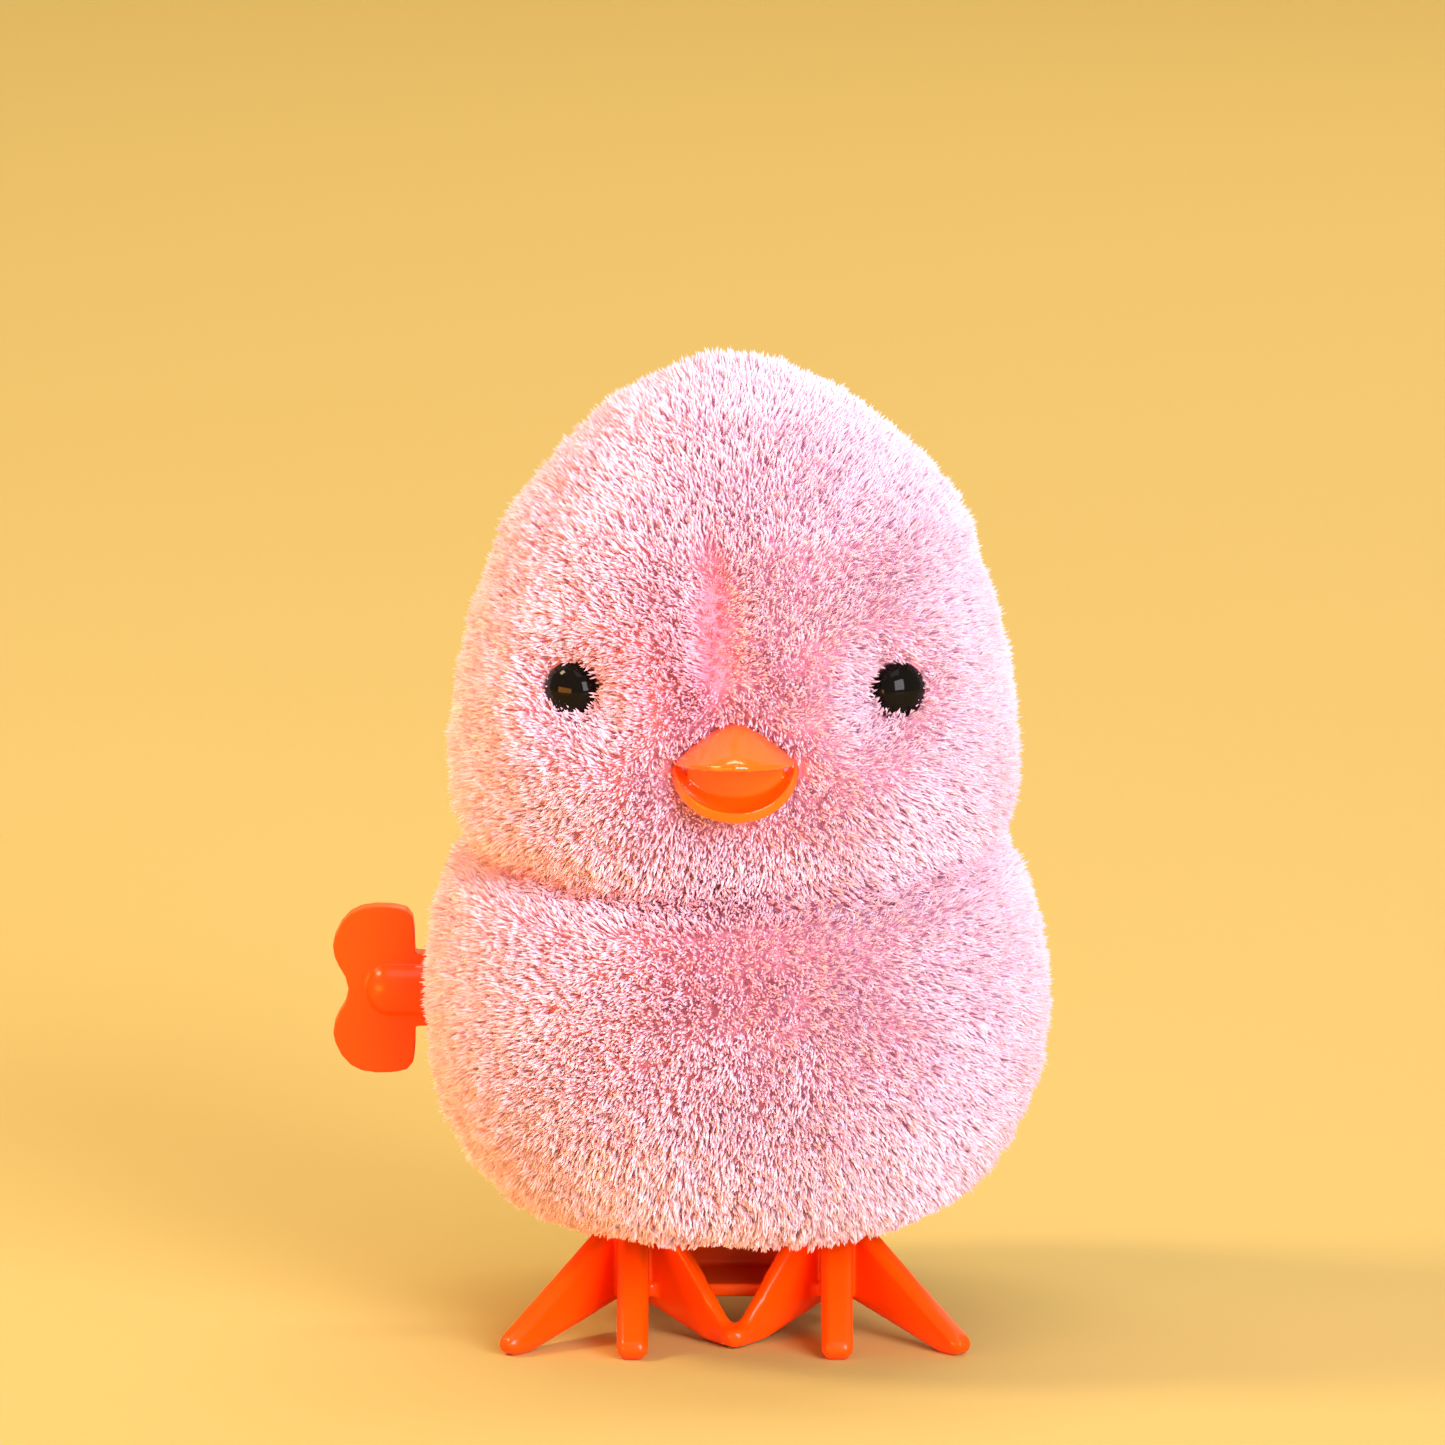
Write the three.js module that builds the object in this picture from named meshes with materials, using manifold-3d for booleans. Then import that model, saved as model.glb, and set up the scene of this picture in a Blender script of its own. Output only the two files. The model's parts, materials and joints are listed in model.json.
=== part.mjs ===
// Wind-up hopping chick: a plush bird over a two-part moulded body, with a spring motor whose crank
// rocks a pair of orange feet, so that the bird hops.
// Millimetres. +Z is up, the chick looks along -Y, and its winding key is on the -X side.
// The origin is on the surface that it stands on, under the pad where the inner toes join in front.
// Sizes below are worked out from a point under the body, PAD_REACH behind that origin.
import * as THREE from "three";
import { mergeVertices } from "three/addons/utils/BufferGeometryUtils.js";
import Module from "manifold-3d";

// ---------------------------------------------------------------- driving dimensions
const HEIGHT = 87.7; // floor to the crown of the plush
const BODY_WIDTH = 55.8; // widest part of the plush
const FRONT_DEPTH = 27; // belly
const BACK_DEPTH = 31; // rump
const BELLY_HEIGHT = 9.6; // floor to the lowest fur
const PLUSH = 4.8; // backing cloth and pile together
const SHELL_WALL = 1.2;
const GAP = 0.3; // between pieces that touch
const RUNNING = 0.08; // round a shaft that turns, or is held, in a hole

const MODULE = 0.5; // of every gear
const GREAT_TEETH = 40;
const SECOND_TEETH = 24;
const PINION_TEETH = 10;
const TOOTH_PLAY = 0.12; // taken off each tooth's thickness
const PRESSURE_ANGLE = (25 * Math.PI) / 180;
const ADDENDUM = 0.85; // in modules
const DEDENDUM = 1.15;

const CASE_WALL = 1.1;
const CASE_HALF_WIDTH = 7.4; // outside, each way from the middle
const WHEEL_ROOM = 0.5; // between a wheel's tip and the case
const ARBOR_R = 1.2;
const SMALL_ARBOR_R = 0.6;
const CRANK_SHAFT_R = 0.75;
const PIVOT_ROD_R = 0.9;
const CRANK_THROW = 0.85;
const CRANK_PIN_R = 0.6;
const CRANK_DISC_R = 2.4;
const CRANK_DISC_THICK = 1.2;
const HOP_ANGLE = (14 * Math.PI) / 180;
const EAR_THICK = 1.2;
const EAR_RIM = 1.5; // round the crank window
const PIVOT_BOSS_R = 2.2;
const CLIP_R = 1.9;

const KEY_LENGTH = 11.7; // along its shaft
const KEY_SPAN = 14.6; // across its wings
const KEY_THICK = 1.8;
const KEY_BARREL_R = 3;
const KEY_CLEAR = 0.6; // from the widest fur to the wings

const TOE_TIP_HEIGHT = 2;
// Each toe: reach from the ankle, thickness, degrees outwards from straight ahead, rise of its top edge.
const FRONT_TOE = { reach: 15, thick: 2.8, lean: 0, slope: 0.72 };
const OUTER_TOE = { reach: 14.3, thick: 2.6, lean: 53, slope: 0.69 };
const INNER_TOE = { reach: 13, thick: 1.4, lean: -44, slope: 1.02 };
const HEEL_TOE = { reach: 14, thick: 2.8, lean: 180, slope: 0.3 };
const ANKLE_X = 9.1;
const ANKLE_Y = -2;
const ANKLE_TOP = 11.4;
const TOE_PAD = 2.4; // length that rests on the floor
const ARCH_SLOPE = 0.3; // of a toe's underside behind its pad
const ARCH_HEIGHT = 3.3; // floor to the web between the feet
const WEB_THICK = 1.2;
const PAD_REACH = 11.2; // to the middle of the front pad
const PAD_R = 1.5;

const EYE_R = 2.6;
const EYE_X = 15.5;
const EYE_HEIGHT = 61;
const EYE_TURN = (34 * Math.PI) / 180; // out from straight ahead
const EYE_DOME = 1.9;
const EYE_SHANK_R = 0.9;
const BEAK_HALF_WIDTH = 5.6;
const BEAK_HEIGHT = 54.5; // floor to the line of the mouth
const BEAK_PROUD = 5.6; // beyond the fur
const BEAK_SHANK_R = 1.5;
const WASHER_THICK = 0.8;

// ---------------------------------------------------------------- solids and shapes
const wasm = await Module();
wasm.setup();
const AXIS_X = new THREE.Vector3(1, 0, 0);
const AXIS_Y = new THREE.Vector3(0, 1, 0);
const AXIS_Z = new THREE.Vector3(0, 0, 1);
const PROFILE_TO_X = new THREE.Matrix4().makeBasis(AXIS_Y, AXIS_Z, AXIS_X);

function solid(geometry) {
  const bare = geometry.index ? geometry.toNonIndexed() : geometry.clone();
  bare.deleteAttribute("normal");
  bare.deleteAttribute("uv");
  const merged = mergeVertices(bare, 1e-4);
  return new wasm.Manifold(
    new wasm.Mesh({
      numProp: 3,
      vertProperties: merged.attributes.position.array,
      triVerts: new Uint32Array(merged.index.array),
    }),
  );
}

function geometryOf(manifold) {
  const made = manifold.getMesh();
  const geometry = new THREE.BufferGeometry();
  geometry.setAttribute("position", new THREE.BufferAttribute(made.vertProperties, 3));
  geometry.setIndex(new THREE.BufferAttribute(made.triVerts, 1));
  geometry.computeVertexNormals();
  return geometry;
}

const joined = (...pieces) => pieces.reduce((sum, piece) => sum.add(piece));
const cut = (piece, ...tools) => tools.reduce((left, tool) => left.subtract(tool), piece);

function block(x0, x1, y0, y1, z0, z1) {
  const geometry = new THREE.BoxGeometry(x1 - x0, y1 - y0, z1 - z0);
  geometry.translate((x0 + x1) / 2, (y0 + y1) / 2, (z0 + z1) / 2);
  return solid(geometry);
}

// A profile drawn in the Y-Z plane, extruded from x0 to x1.
function plate(shape, x0, x1, curveSegments = 12) {
  const options = { depth: x1 - x0, bevelEnabled: false, curveSegments };
  const geometry = new THREE.ExtrudeGeometry(shape, options);
  geometry.applyMatrix4(PROFILE_TO_X);
  geometry.translate(x0, 0, 0);
  return solid(geometry);
}

function disc([y, z], r) {
  return new THREE.Shape().absarc(y, z, r, 0, 2 * Math.PI, false);
}

// The radius of a faceted hole whose flats clear a shaft.
const boreFor = (r, sides = 12) => (r + RUNNING) / Math.cos(Math.PI / sides);

// A rod along X, centred on a point of the Y-Z plane.
const rod = (centre, r, x0, x1, segments = 6) => plate(disc(centre, r), x0, x1, segments);

// A solid of revolution about AXIS_Y from [radius, height] pairs, then turned to point along a direction.
function turned(profile, origin, direction, segments = 16) {
  const points = profile.map(([r, h]) => new THREE.Vector2(r, h));
  const geometry = new THREE.LatheGeometry(points, segments);
  geometry.applyQuaternion(new THREE.Quaternion().setFromUnitVectors(AXIS_Y, direction));
  geometry.translate(origin.x, origin.y, origin.z);
  return solid(geometry);
}

const bar = (r, h0, h1) => [[0, h0], [r, h0], [r, h1], [0, h1]];
function washer(bore, outer, h0, h1) {
  return [
    [bore, h0],
    [outer, h0],
    [outer, h1],
    [bore, h1],
    [bore, h0],
  ];
}

// The outline that wraps a set of circles, each [y, z, r].
function wrapped(circles, steps = 20) {
  const points = circles.flatMap(([y, z, r]) =>
    Array.from({ length: steps }, (_, i) => {
      const turn = (2 * Math.PI * i) / steps;
      return new THREE.Vector2(y + r * Math.cos(turn), z + r * Math.sin(turn));
    }),
  );
  points.sort((a, b) => a.x - b.x || a.y - b.y);
  const side = (ordered) => {
    const chain = [];
    for (const p of ordered) {
      while (chain.length > 1) {
        const [a, b] = chain.slice(-2);
        if ((b.x - a.x) * (p.y - a.y) - (b.y - a.y) * (p.x - a.x) > 1e-6) break;
        chain.pop();
      }
      chain.push(p);
    }
    return chain.slice(0, -1);
  };
  return new THREE.Shape([...side(points), ...side([...points].reverse())]);
}

// ---------------------------------------------------------------- the plush form
// Sections from the belly's edge to the crown: [height, half width, front, back], as shares of the driving sizes.
const SECTIONS = [
  [0, 0.59, 0.6, 0.57],
  [0.022, 0.7, 0.7, 0.68],
  [0.07, 0.828, 0.825, 0.8],
  [0.13, 0.934, 0.93, 0.91],
  [0.2, 0.988, 0.985, 0.98],
  [0.28, 1, 1, 1],
  [0.355, 0.968, 0.968, 0.93],
  [0.41, 0.912, 0.912, 0.835],
  [0.453, 0.857, 0.862, 0.762],
  [0.485, 0.882, 0.904, 0.768],
  [0.543, 0.91, 0.937, 0.782],
  [0.63, 0.882, 0.914, 0.768],
  [0.73, 0.815, 0.845, 0.72],
  [0.82, 0.718, 0.757, 0.64],
  [0.9, 0.53, 0.573, 0.47],
  [0.955, 0.375, 0.41, 0.32],
  [1, 0.1, 0.12, 0.07],
];
const heightOf = (share) => BELLY_HEIGHT + share * (HEIGHT - BELLY_HEIGHT);

// The section at a height, drawn in by an inset.
function sectionAt(z, inset = 0) {
  const rise = (z - BELLY_HEIGHT) / (HEIGHT - BELLY_HEIGHT);
  const above = Math.min(Math.max(SECTIONS.findIndex(([h]) => h >= rise), 1), SECTIONS.length - 1);
  const [low, high] = [SECTIONS[above - 1], SECTIONS[above]];
  const share = (rise - low[0]) / (high[0] - low[0]);
  const [half, front, back] = [1, 2, 3].map((k) => low[k] + share * (high[k] - low[k]));
  return {
    z,
    half: (half * BODY_WIDTH) / 2 - inset,
    front: front * FRONT_DEPTH - inset,
    back: back * BACK_DEPTH - inset,
  };
}

function lofted(sections, around) {
  const positions = [];
  const index = [];
  for (const { z, half, front, back } of sections)
    for (let i = 0; i < around; i++) {
      const turn = (2 * Math.PI * i) / around;
      const s = Math.sin(turn);
      positions.push(half * Math.cos(turn), s * (s < 0 ? front : back), z);
    }
  const [first, last] = [sections[0], sections.at(-1)];
  positions.push(0, (first.back - first.front) / 2, first.z, 0, (last.back - last.front) / 2, last.z);
  const bottom = sections.length * around;
  const lastRing = (sections.length - 1) * around;
  for (let i = 0; i < around; i++) {
    const next = (i + 1) % around;
    for (let ring = 0; ring < lastRing; ring += around) {
      const above = ring + around;
      index.push(ring + i, ring + next, above + next, ring + i, above + next, above + i);
    }
    index.push(bottom, next, i, bottom + 1, lastRing + i, lastRing + next);
  }
  const geometry = new THREE.BufferGeometry();
  geometry.setAttribute("position", new THREE.BufferAttribute(new Float32Array(positions), 3));
  geometry.setIndex(index);
  return solid(geometry);
}

// The plush form between two heights, drawn in by an inset.
function form(inset, z0, z1, around = 32) {
  const heights = SECTIONS.map(([share]) => heightOf(share)).filter((z) => z > z0 + 0.4 && z < z1 - 0.4);
  const sections = [z0, ...heights, z1].map((z) => sectionAt(z, inset));
  return lofted(sections, around);
}

// The fur's surface in front, at a place across the face.
function faceAt(x, z) {
  const { half, front } = sectionAt(z);
  return new THREE.Vector3(x, -front * Math.sqrt(1 - (x / half) ** 2), z);
}

// ---------------------------------------------------------------- motor layout, in the Y-Z plane
const pitchRadius = (teeth) => (MODULE * teeth) / 2;
const tipRadius = (teeth) => pitchRadius(teeth) + ADDENDUM * MODULE;
const KEY_AXIS = [2.5, 30];
// A wheel's centre, at its meshing distance from another and a set distance further along Y, below it.
function meshedWith([y, z], distance, stepY) {
  return [y + stepY, z - Math.sqrt(distance ** 2 - stepY ** 2)];
}
const FIRST_MESH = pitchRadius(GREAT_TEETH) + pitchRadius(PINION_TEETH);
const SECOND_MESH = pitchRadius(SECOND_TEETH) + pitchRadius(PINION_TEETH);
const SECOND_AXIS = meshedWith(KEY_AXIS, FIRST_MESH, -0.7 * FIRST_MESH);
const CRANK_AXIS = meshedWith(SECOND_AXIS, SECOND_MESH, 0.86 * SECOND_MESH);
const PIVOT_AXIS = [CRANK_AXIS[0] + 6.8, CRANK_AXIS[1] - 2];

const CASE_INSIDE = CASE_HALF_WIDTH - CASE_WALL;
const WHEEL_THICK = 1.5;
const GREAT_X = -CASE_INSIDE + GAP; // the planes that the wheels turn in, from the key's side
const RATCHET_X = GREAT_X + WHEEL_THICK + GAP;
const RATCHET_THICK = 0.9;
const SPRING_X = RATCHET_X + RATCHET_THICK + GAP;
const SPRING_WIDTH = 5.2;
const SECOND_X = SPRING_X + SPRING_WIDTH + 0.5;
const DISC_X = CASE_HALF_WIDTH + GAP;
const EAR_X = DISC_X + CRANK_DISC_THICK + GAP;
const PIN_END_X = EAR_X + EAR_THICK + 0.6;
const ROD_END_X = PIN_END_X + 0.4;

// ---------------------------------------------------------------- gears
const involute = (angle) => Math.tan(angle) - angle;

function gearShape([y, z], teeth, phase, bore) {
  const pitch = pitchRadius(teeth);
  const base = pitch * Math.cos(PRESSURE_ANGLE);
  const halfTooth = (Math.PI * MODULE) / 4 - TOOTH_PLAY / 2;
  const halfAngle = (r) => {
    const slope = r > base ? involute(Math.acos(base / r)) : 0;
    return halfTooth / pitch + involute(PRESSURE_ANGLE) - slope;
  };
  const radii = [pitch - DEDENDUM * MODULE, pitch, tipRadius(teeth)];
  const points = [];
  for (let tooth = 0; tooth < teeth; tooth++) {
    const middle = phase + (2 * Math.PI * tooth) / teeth;
    const flank = (side) =>
      radii.map((r) => {
        const turn = middle + side * halfAngle(r);
        return new THREE.Vector2(y + r * Math.cos(turn), z + r * Math.sin(turn));
      });
    points.push(...flank(-1), ...flank(1).reverse());
  }
  const shape = new THREE.Shape(points);
  if (bore) shape.holes.push(disc([y, z], bore));
  return shape;
}

const towards = ([y0, z0], [y1, z1]) => Math.atan2(z1 - z0, y1 - y0);
const atTurn = ([y, z], r, turn) => [y + r * Math.cos(turn), z + r * Math.sin(turn)];
// A pinion shows a gap where its wheel shows a tooth.
const meshingPhase = (from, to, teeth) => towards(from, to) + Math.PI / teeth;

// ---------------------------------------------------------------- the model
const model = new THREE.Group();
const finish = (color, roughness, metalness = 0) => ({ color, roughness, metalness });
const PINK_PLUSH = finish(0xf6b9c6, 0.95);
const FIBRE_FILL = finish(0xf4f2ee, 1);
const ORANGE = finish(0xff6a0a, 0.28);
const BLACK = finish(0x0a0808, 0.08);
const SHELL_WHITE = finish(0xe9e4da, 0.5);
const CASE_GREY = finish(0x8f959b, 0.45);
const GEAR_WHITE = finish(0xf1ede2, 0.35);
const STEEL = finish(0xb9bcc0, 0.3, 1);

function add(name, piece, material) {
  const geometry = geometryOf(piece).translate(0, PAD_REACH, 0);
  const mesh = new THREE.Mesh(geometry, new THREE.MeshStandardMaterial(material));
  mesh.name = name;
  model.add(mesh);
}

const RIGHT_AND_LEFT = [
  ["right", -1],
  ["left", 1],
];
const mirrored = (side, x0, x1) => (side < 0 ? [-x1, -x0] : [x0, x1]);

// ---- eyes, beak and the washers that hold them behind the cloth
function faceFitting(x, z, turn, depth) {
  const surface = faceAt(x, z);
  const direction = new THREE.Vector3(Math.sin(turn), -Math.cos(turn), 0);
  return { origin: surface.clone().addScaledVector(direction, -depth), direction };
}

const EYE_SUNK = 2; // the eye's rim below the fur's tips
const EYE_SHANK = PLUSH + 2.4;
const eyeProfile = () => {
  const steps = 5;
  const arc = Array.from({ length: steps + 1 }, (_, i) => {
    const turn = (i * Math.PI) / (2 * steps);
    return [i < steps ? EYE_R * Math.cos(turn) : 0, EYE_DOME * Math.sin(turn)];
  });
  return [[0, -EYE_SHANK], [EYE_SHANK_R, -EYE_SHANK], [EYE_SHANK_R, -0.8], [EYE_R, -0.8], ...arc];
};
const pockets = []; // cut from the plush
const fillPockets = []; // cut from the stuffing
const washerHeight = -PLUSH - GAP; // below the fitting's rim, behind the cloth

for (const [name, side] of RIGHT_AND_LEFT) {
  const { origin, direction } = faceFitting(side * EYE_X, EYE_HEIGHT, side * EYE_TURN, EYE_SUNK);
  const place = (profile) => turned(profile, origin, direction);
  const hole = EYE_SHANK_R + GAP;
  add(`eye_${name}`, place(eyeProfile()), BLACK);
  add(`eye_washer_${name}`, place(washer(hole, 3.1, washerHeight - WASHER_THICK, washerHeight)), SHELL_WHITE);
  const socket = place(bar(EYE_R + GAP, -0.8 - GAP, 9));
  pockets.push(socket, place(bar(hole, -12, 0)));
  const room = 3.1 + GAP;
  fillPockets.push(place(bar(room, -EYE_SHANK - 1, 6)));
}

// The beak: an upper bill over an open scoop, on a shank.
const BEAK_SUNK = 2.6; // its root below the fur's tips
const beakRoot = -sectionAt(BEAK_HEIGHT).front + BEAK_SUNK;
const UPPER_BILL = { height: 4, halfWidth: BEAK_HALF_WIDTH, length: BEAK_PROUD + BEAK_SUNK, taper: 0.97 };
const LOWER_BILL = { height: 4.5, halfWidth: BEAK_HALF_WIDTH, length: BEAK_PROUD + 0.4, taper: 0.62 };
const BILL_WALL = 0.8;
const THROAT = 1.4; // solid behind the open mouth
// One bill, half an ellipse in section and narrowing forwards; up is 1 for the upper bill.
function bill({ height, halfWidth, length, taper }, up, start = 0) {
  const rows = 8;
  const steps = 12;
  const positions = [];
  const index = [];
  for (let row = 0; row < rows; row++) {
    const along = row / (rows - 1);
    const size = Math.sqrt(1 - taper * along ** 2);
    for (let i = 0; i <= steps; i++) {
      const turn = (Math.PI * i) / steps;
      const z = BEAK_HEIGHT + up * height * size * Math.sin(turn);
      positions.push(up * halfWidth * size * Math.cos(turn), beakRoot - start - along * length, z);
    }
  }
  const n = steps + 1;
  for (let row = 0; row < rows - 1; row++)
    for (let i = 0; i < n; i++) {
      const next = (i + 1) % n;
      const [a, b] = [row * n + i, row * n + next];
      index.push(a, b, b + n, a, b + n, a + n);
    }
  for (let i = 1; i < n - 1; i++) {
    const last = (rows - 1) * n;
    index.push(0, i + 1, i, last, last + i, last + i + 1);
  }
  const geometry = new THREE.BufferGeometry();
  geometry.setAttribute("position", new THREE.BufferAttribute(new Float32Array(positions), 3));
  geometry.setIndex(index);
  return solid(geometry);
}
const MOUTH = {
  height: LOWER_BILL.height - BILL_WALL,
  halfWidth: LOWER_BILL.halfWidth - BILL_WALL,
  length: LOWER_BILL.length + 1,
  taper: LOWER_BILL.taper,
};
const beakFitting = {
  origin: new THREE.Vector3(0, beakRoot, BEAK_HEIGHT - 0.3),
  direction: AXIS_Y.clone().negate(),
};
const placeOnBeak = (profile) => turned(profile, beakFitting.origin, beakFitting.direction);
const BEAK_WASHER_R = 4;
const acrossWasher = Array.from({ length: 16 }, (_, i) => atTurn([0, BEAK_HEIGHT], BEAK_WASHER_R, (i * Math.PI) / 8));
// how far the cloth falls back from the beak's middle to the washer's edge
const clothFall = Math.max(...acrossWasher.map(([x, z]) => faceAt(x, z).y)) - faceAt(0, BEAK_HEIGHT).y;
const beakClothBack = BEAK_SUNK - PLUSH - clothFall - 2 * GAP;
const BEAK_SHANK = 2 * WASHER_THICK - beakClothBack + 0.6;
add(
  "beak",
  joined(
    cut(bill(LOWER_BILL, -1), bill(MOUTH, -1, THROAT)),
    bill(UPPER_BILL, 1),
    placeOnBeak(bar(4.3, -1.2, 0.2)),
    placeOnBeak(bar(BEAK_SHANK_R, -BEAK_SHANK, 0)),
  ),
  ORANGE,
);
add(
  "beak_washer",
  placeOnBeak(washer(BEAK_SHANK_R + GAP, BEAK_WASHER_R, beakClothBack - WASHER_THICK, beakClothBack)),
  SHELL_WHITE,
);
const beakSocket = new THREE.CylinderGeometry(BEAK_HALF_WIDTH + 0.8, BEAK_HALF_WIDTH + 0.8, 14, 28);
beakSocket.translate(0, beakRoot + 1.2 + GAP - 7, BEAK_HEIGHT - 0.3);
pockets.push(solid(beakSocket));
pockets.push(placeOnBeak(bar(BEAK_SHANK_R + GAP, -12, 0)));
fillPockets.push(placeOnBeak(bar(BEAK_WASHER_R + GAP, -BEAK_SHANK - 1, 3)));

// ---- plush cover and head stuffing
const SHELL_TOP = 46.2;
const inside = PLUSH + GAP;
const hollow = form(PLUSH, BELLY_HEIGHT - 1, HEIGHT - PLUSH);
const OPENING = { half: 14.4, front: -13, back: 13, corner: 5 };
function openingPrism(z0, z1) {
  const { half, front, back, corner } = OPENING;
  const shape = new THREE.Shape();
  shape.absarc(half - corner, back - corner, corner, 0, Math.PI / 2, false);
  shape.absarc(-half + corner, back - corner, corner, Math.PI / 2, Math.PI, false);
  shape.absarc(-half + corner, front + corner, corner, Math.PI, 1.5 * Math.PI, false);
  shape.absarc(half - corner, front + corner, corner, 1.5 * Math.PI, 2 * Math.PI, false);
  const geometry = new THREE.ExtrudeGeometry(shape, { depth: z1 - z0, bevelEnabled: false, curveSegments: 6 });
  geometry.translate(0, 0, z0);
  return solid(geometry);
}
const rimHeight = 2.8; // of the cloth turned in under the shell
const cavity = hollow.subtract(block(-60, 60, -60, 60, 0, BELLY_HEIGHT + rimHeight));
const KEY_SHANK_HALF = KEY_BARREL_R + 0.3; // the wings' root, either side of the barrel
const keyHole = rod(KEY_AXIS, Math.hypot(KEY_SHANK_HALF, KEY_THICK / 2) + GAP, -60, 0);
add(
  "plush_cover",
  cut(form(0, BELLY_HEIGHT, HEIGHT), cavity, openingPrism(0, BELLY_HEIGHT + rimHeight + 1), keyHole, ...pockets),
  PINK_PLUSH,
);
add("head_stuffing", cut(form(inside, SHELL_TOP + GAP, HEIGHT - inside, 22), ...fillPockets), FIBRE_FILL);

// ---- body shell halves, their bosses and screws
const SHELL_BASE = BELLY_HEIGHT + rimHeight + GAP;
const BOSS_R = 2.3;
const SCREW_R = 1;
const SCREW_HEAD_R = 1.9;
const HEAD_SEAT_X = 6;
const SHELL_BOSSES = [
  [18.5, 33],
  [-15.5, 37],
  [17.8, 19.5],
];
const MOTOR_POSTS = [
  [-4, 36],
  [9.5, 36],
];
const shellInside = form(inside + SHELL_WALL, SHELL_BASE - 1, SHELL_TOP - SHELL_WALL, 22);
const shellOutside = form(inside, SHELL_BASE, SHELL_TOP, 22);
// room for the pivot rod's ends and the clips on them
const clipRoom = rod(PIVOT_AXIS, CLIP_R + GAP, -ROD_END_X - GAP, ROD_END_X + GAP, 16);
const half = (side) => (side < 0 ? block(-60, -GAP / 2, -60, 60, 0, 99) : block(GAP / 2, 60, -60, 60, 0, 99));
for (const [name, side] of RIGHT_AND_LEFT) {
  const reach = (centre, r, x0) => rod(centre, r, ...mirrored(side, x0, 40)).intersect(shellOutside);
  const posts = MOTOR_POSTS.map((centre) => reach(centre, 2, CASE_HALF_WIDTH + GAP));
  const bosses = SHELL_BOSSES.map((centre) => reach(centre, BOSS_R, GAP / 2));
  const holes = SHELL_BOSSES.flatMap((centre) =>
    side < 0
      ? [rod(centre, SCREW_R + GAP, -9, 9)]
      : [rod(centre, SCREW_R + GAP, -9, 40), rod(centre, SCREW_HEAD_R + GAP, HEAD_SEAT_X, 40)],
  );
  const wall = shellOutside.subtract(shellInside).intersect(half(side));
  add(`body_shell_${name}`, cut(joined(wall, ...posts, ...bosses), ...holes, keyHole, clipRoom), SHELL_WHITE);
}
SHELL_BOSSES.forEach((centre, i) => {
  const head = rod(centre, SCREW_HEAD_R, HEAD_SEAT_X + GAP, HEAD_SEAT_X + GAP + 1.3);
  add(`shell_screw_${i + 1}`, joined(rod(centre, SCREW_R, -8, HEAD_SEAT_X + GAP), head), STEEL);
});

// ---- motor case
const WHEEL_SPACE = [
  [...KEY_AXIS, tipRadius(GREAT_TEETH) + WHEEL_ROOM],
  [...SECOND_AXIS, tipRadius(SECOND_TEETH) + WHEEL_ROOM],
  [...CRANK_AXIS, tipRadius(PINION_TEETH) + WHEEL_ROOM],
];
const caseInside = wrapped(WHEEL_SPACE);
const caseOutline = wrapped([
  ...WHEEL_SPACE.map(([y, z, r]) => [y, z, r + CASE_WALL]),
  [...PIVOT_AXIS, PIVOT_BOSS_R],
]);
const LUG_R = 1.7;
const CASE_SCREW_R = 0.7;
const lugAt = ([y, z, r], turn) => atTurn([y, z], r + CASE_WALL + 1, turn);
const CASE_SCREWS = [
  lugAt(WHEEL_SPACE[0], 0.5 * Math.PI),
  lugAt(WHEEL_SPACE[0], 1.04 * Math.PI),
  lugAt(WHEEL_SPACE[0], -0.16 * Math.PI),
];
const SPRING_OUTER_R = 9.2;
const springEndTurn = Math.PI * 0.3;
const springPost = rod(
  atTurn(KEY_AXIS, SPRING_OUTER_R + 1.05, springEndTurn),
  0.6,
  SPRING_X,
  CASE_HALF_WIDTH - CASE_WALL / 2,
);
for (const [name, side] of RIGHT_AND_LEFT) {
  const lugs = CASE_SCREWS.map((centre) => rod(centre, LUG_R, ...mirrored(side, GAP / 2, CASE_HALF_WIDTH)));
  const holes = [
    rod(KEY_AXIS, boreFor(ARBOR_R), -60, 60),
    rod(SECOND_AXIS, boreFor(SMALL_ARBOR_R), -60, 60),
    rod(CRANK_AXIS, boreFor(CRANK_SHAFT_R), -60, 60),
    rod(PIVOT_AXIS, boreFor(PIVOT_ROD_R), -60, 60),
    ...CASE_SCREWS.map((centre) => rod(centre, boreFor(CASE_SCREW_R), -60, 60)),
  ];
  const shell = plate(caseOutline, ...mirrored(side, GAP / 2, CASE_HALF_WIDTH));
  const room = cut(plate(caseInside, -CASE_INSIDE, CASE_INSIDE));
  const extra = side > 0 ? [springPost.intersect(half(side))] : [];
  const walls = cut(joined(shell, ...lugs), room);
  add(`motor_case_${name}`, cut(joined(walls, ...extra), ...holes), CASE_GREY);
}
CASE_SCREWS.forEach((centre, i) => {
  const head = rod(centre, 1.4, CASE_HALF_WIDTH + GAP, CASE_HALF_WIDTH + GAP + 0.9);
  const shank = rod(centre, CASE_SCREW_R, -5, CASE_HALF_WIDTH + GAP);
  add(`case_screw_${i + 1}`, joined(shank, head), STEEL);
});

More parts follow.
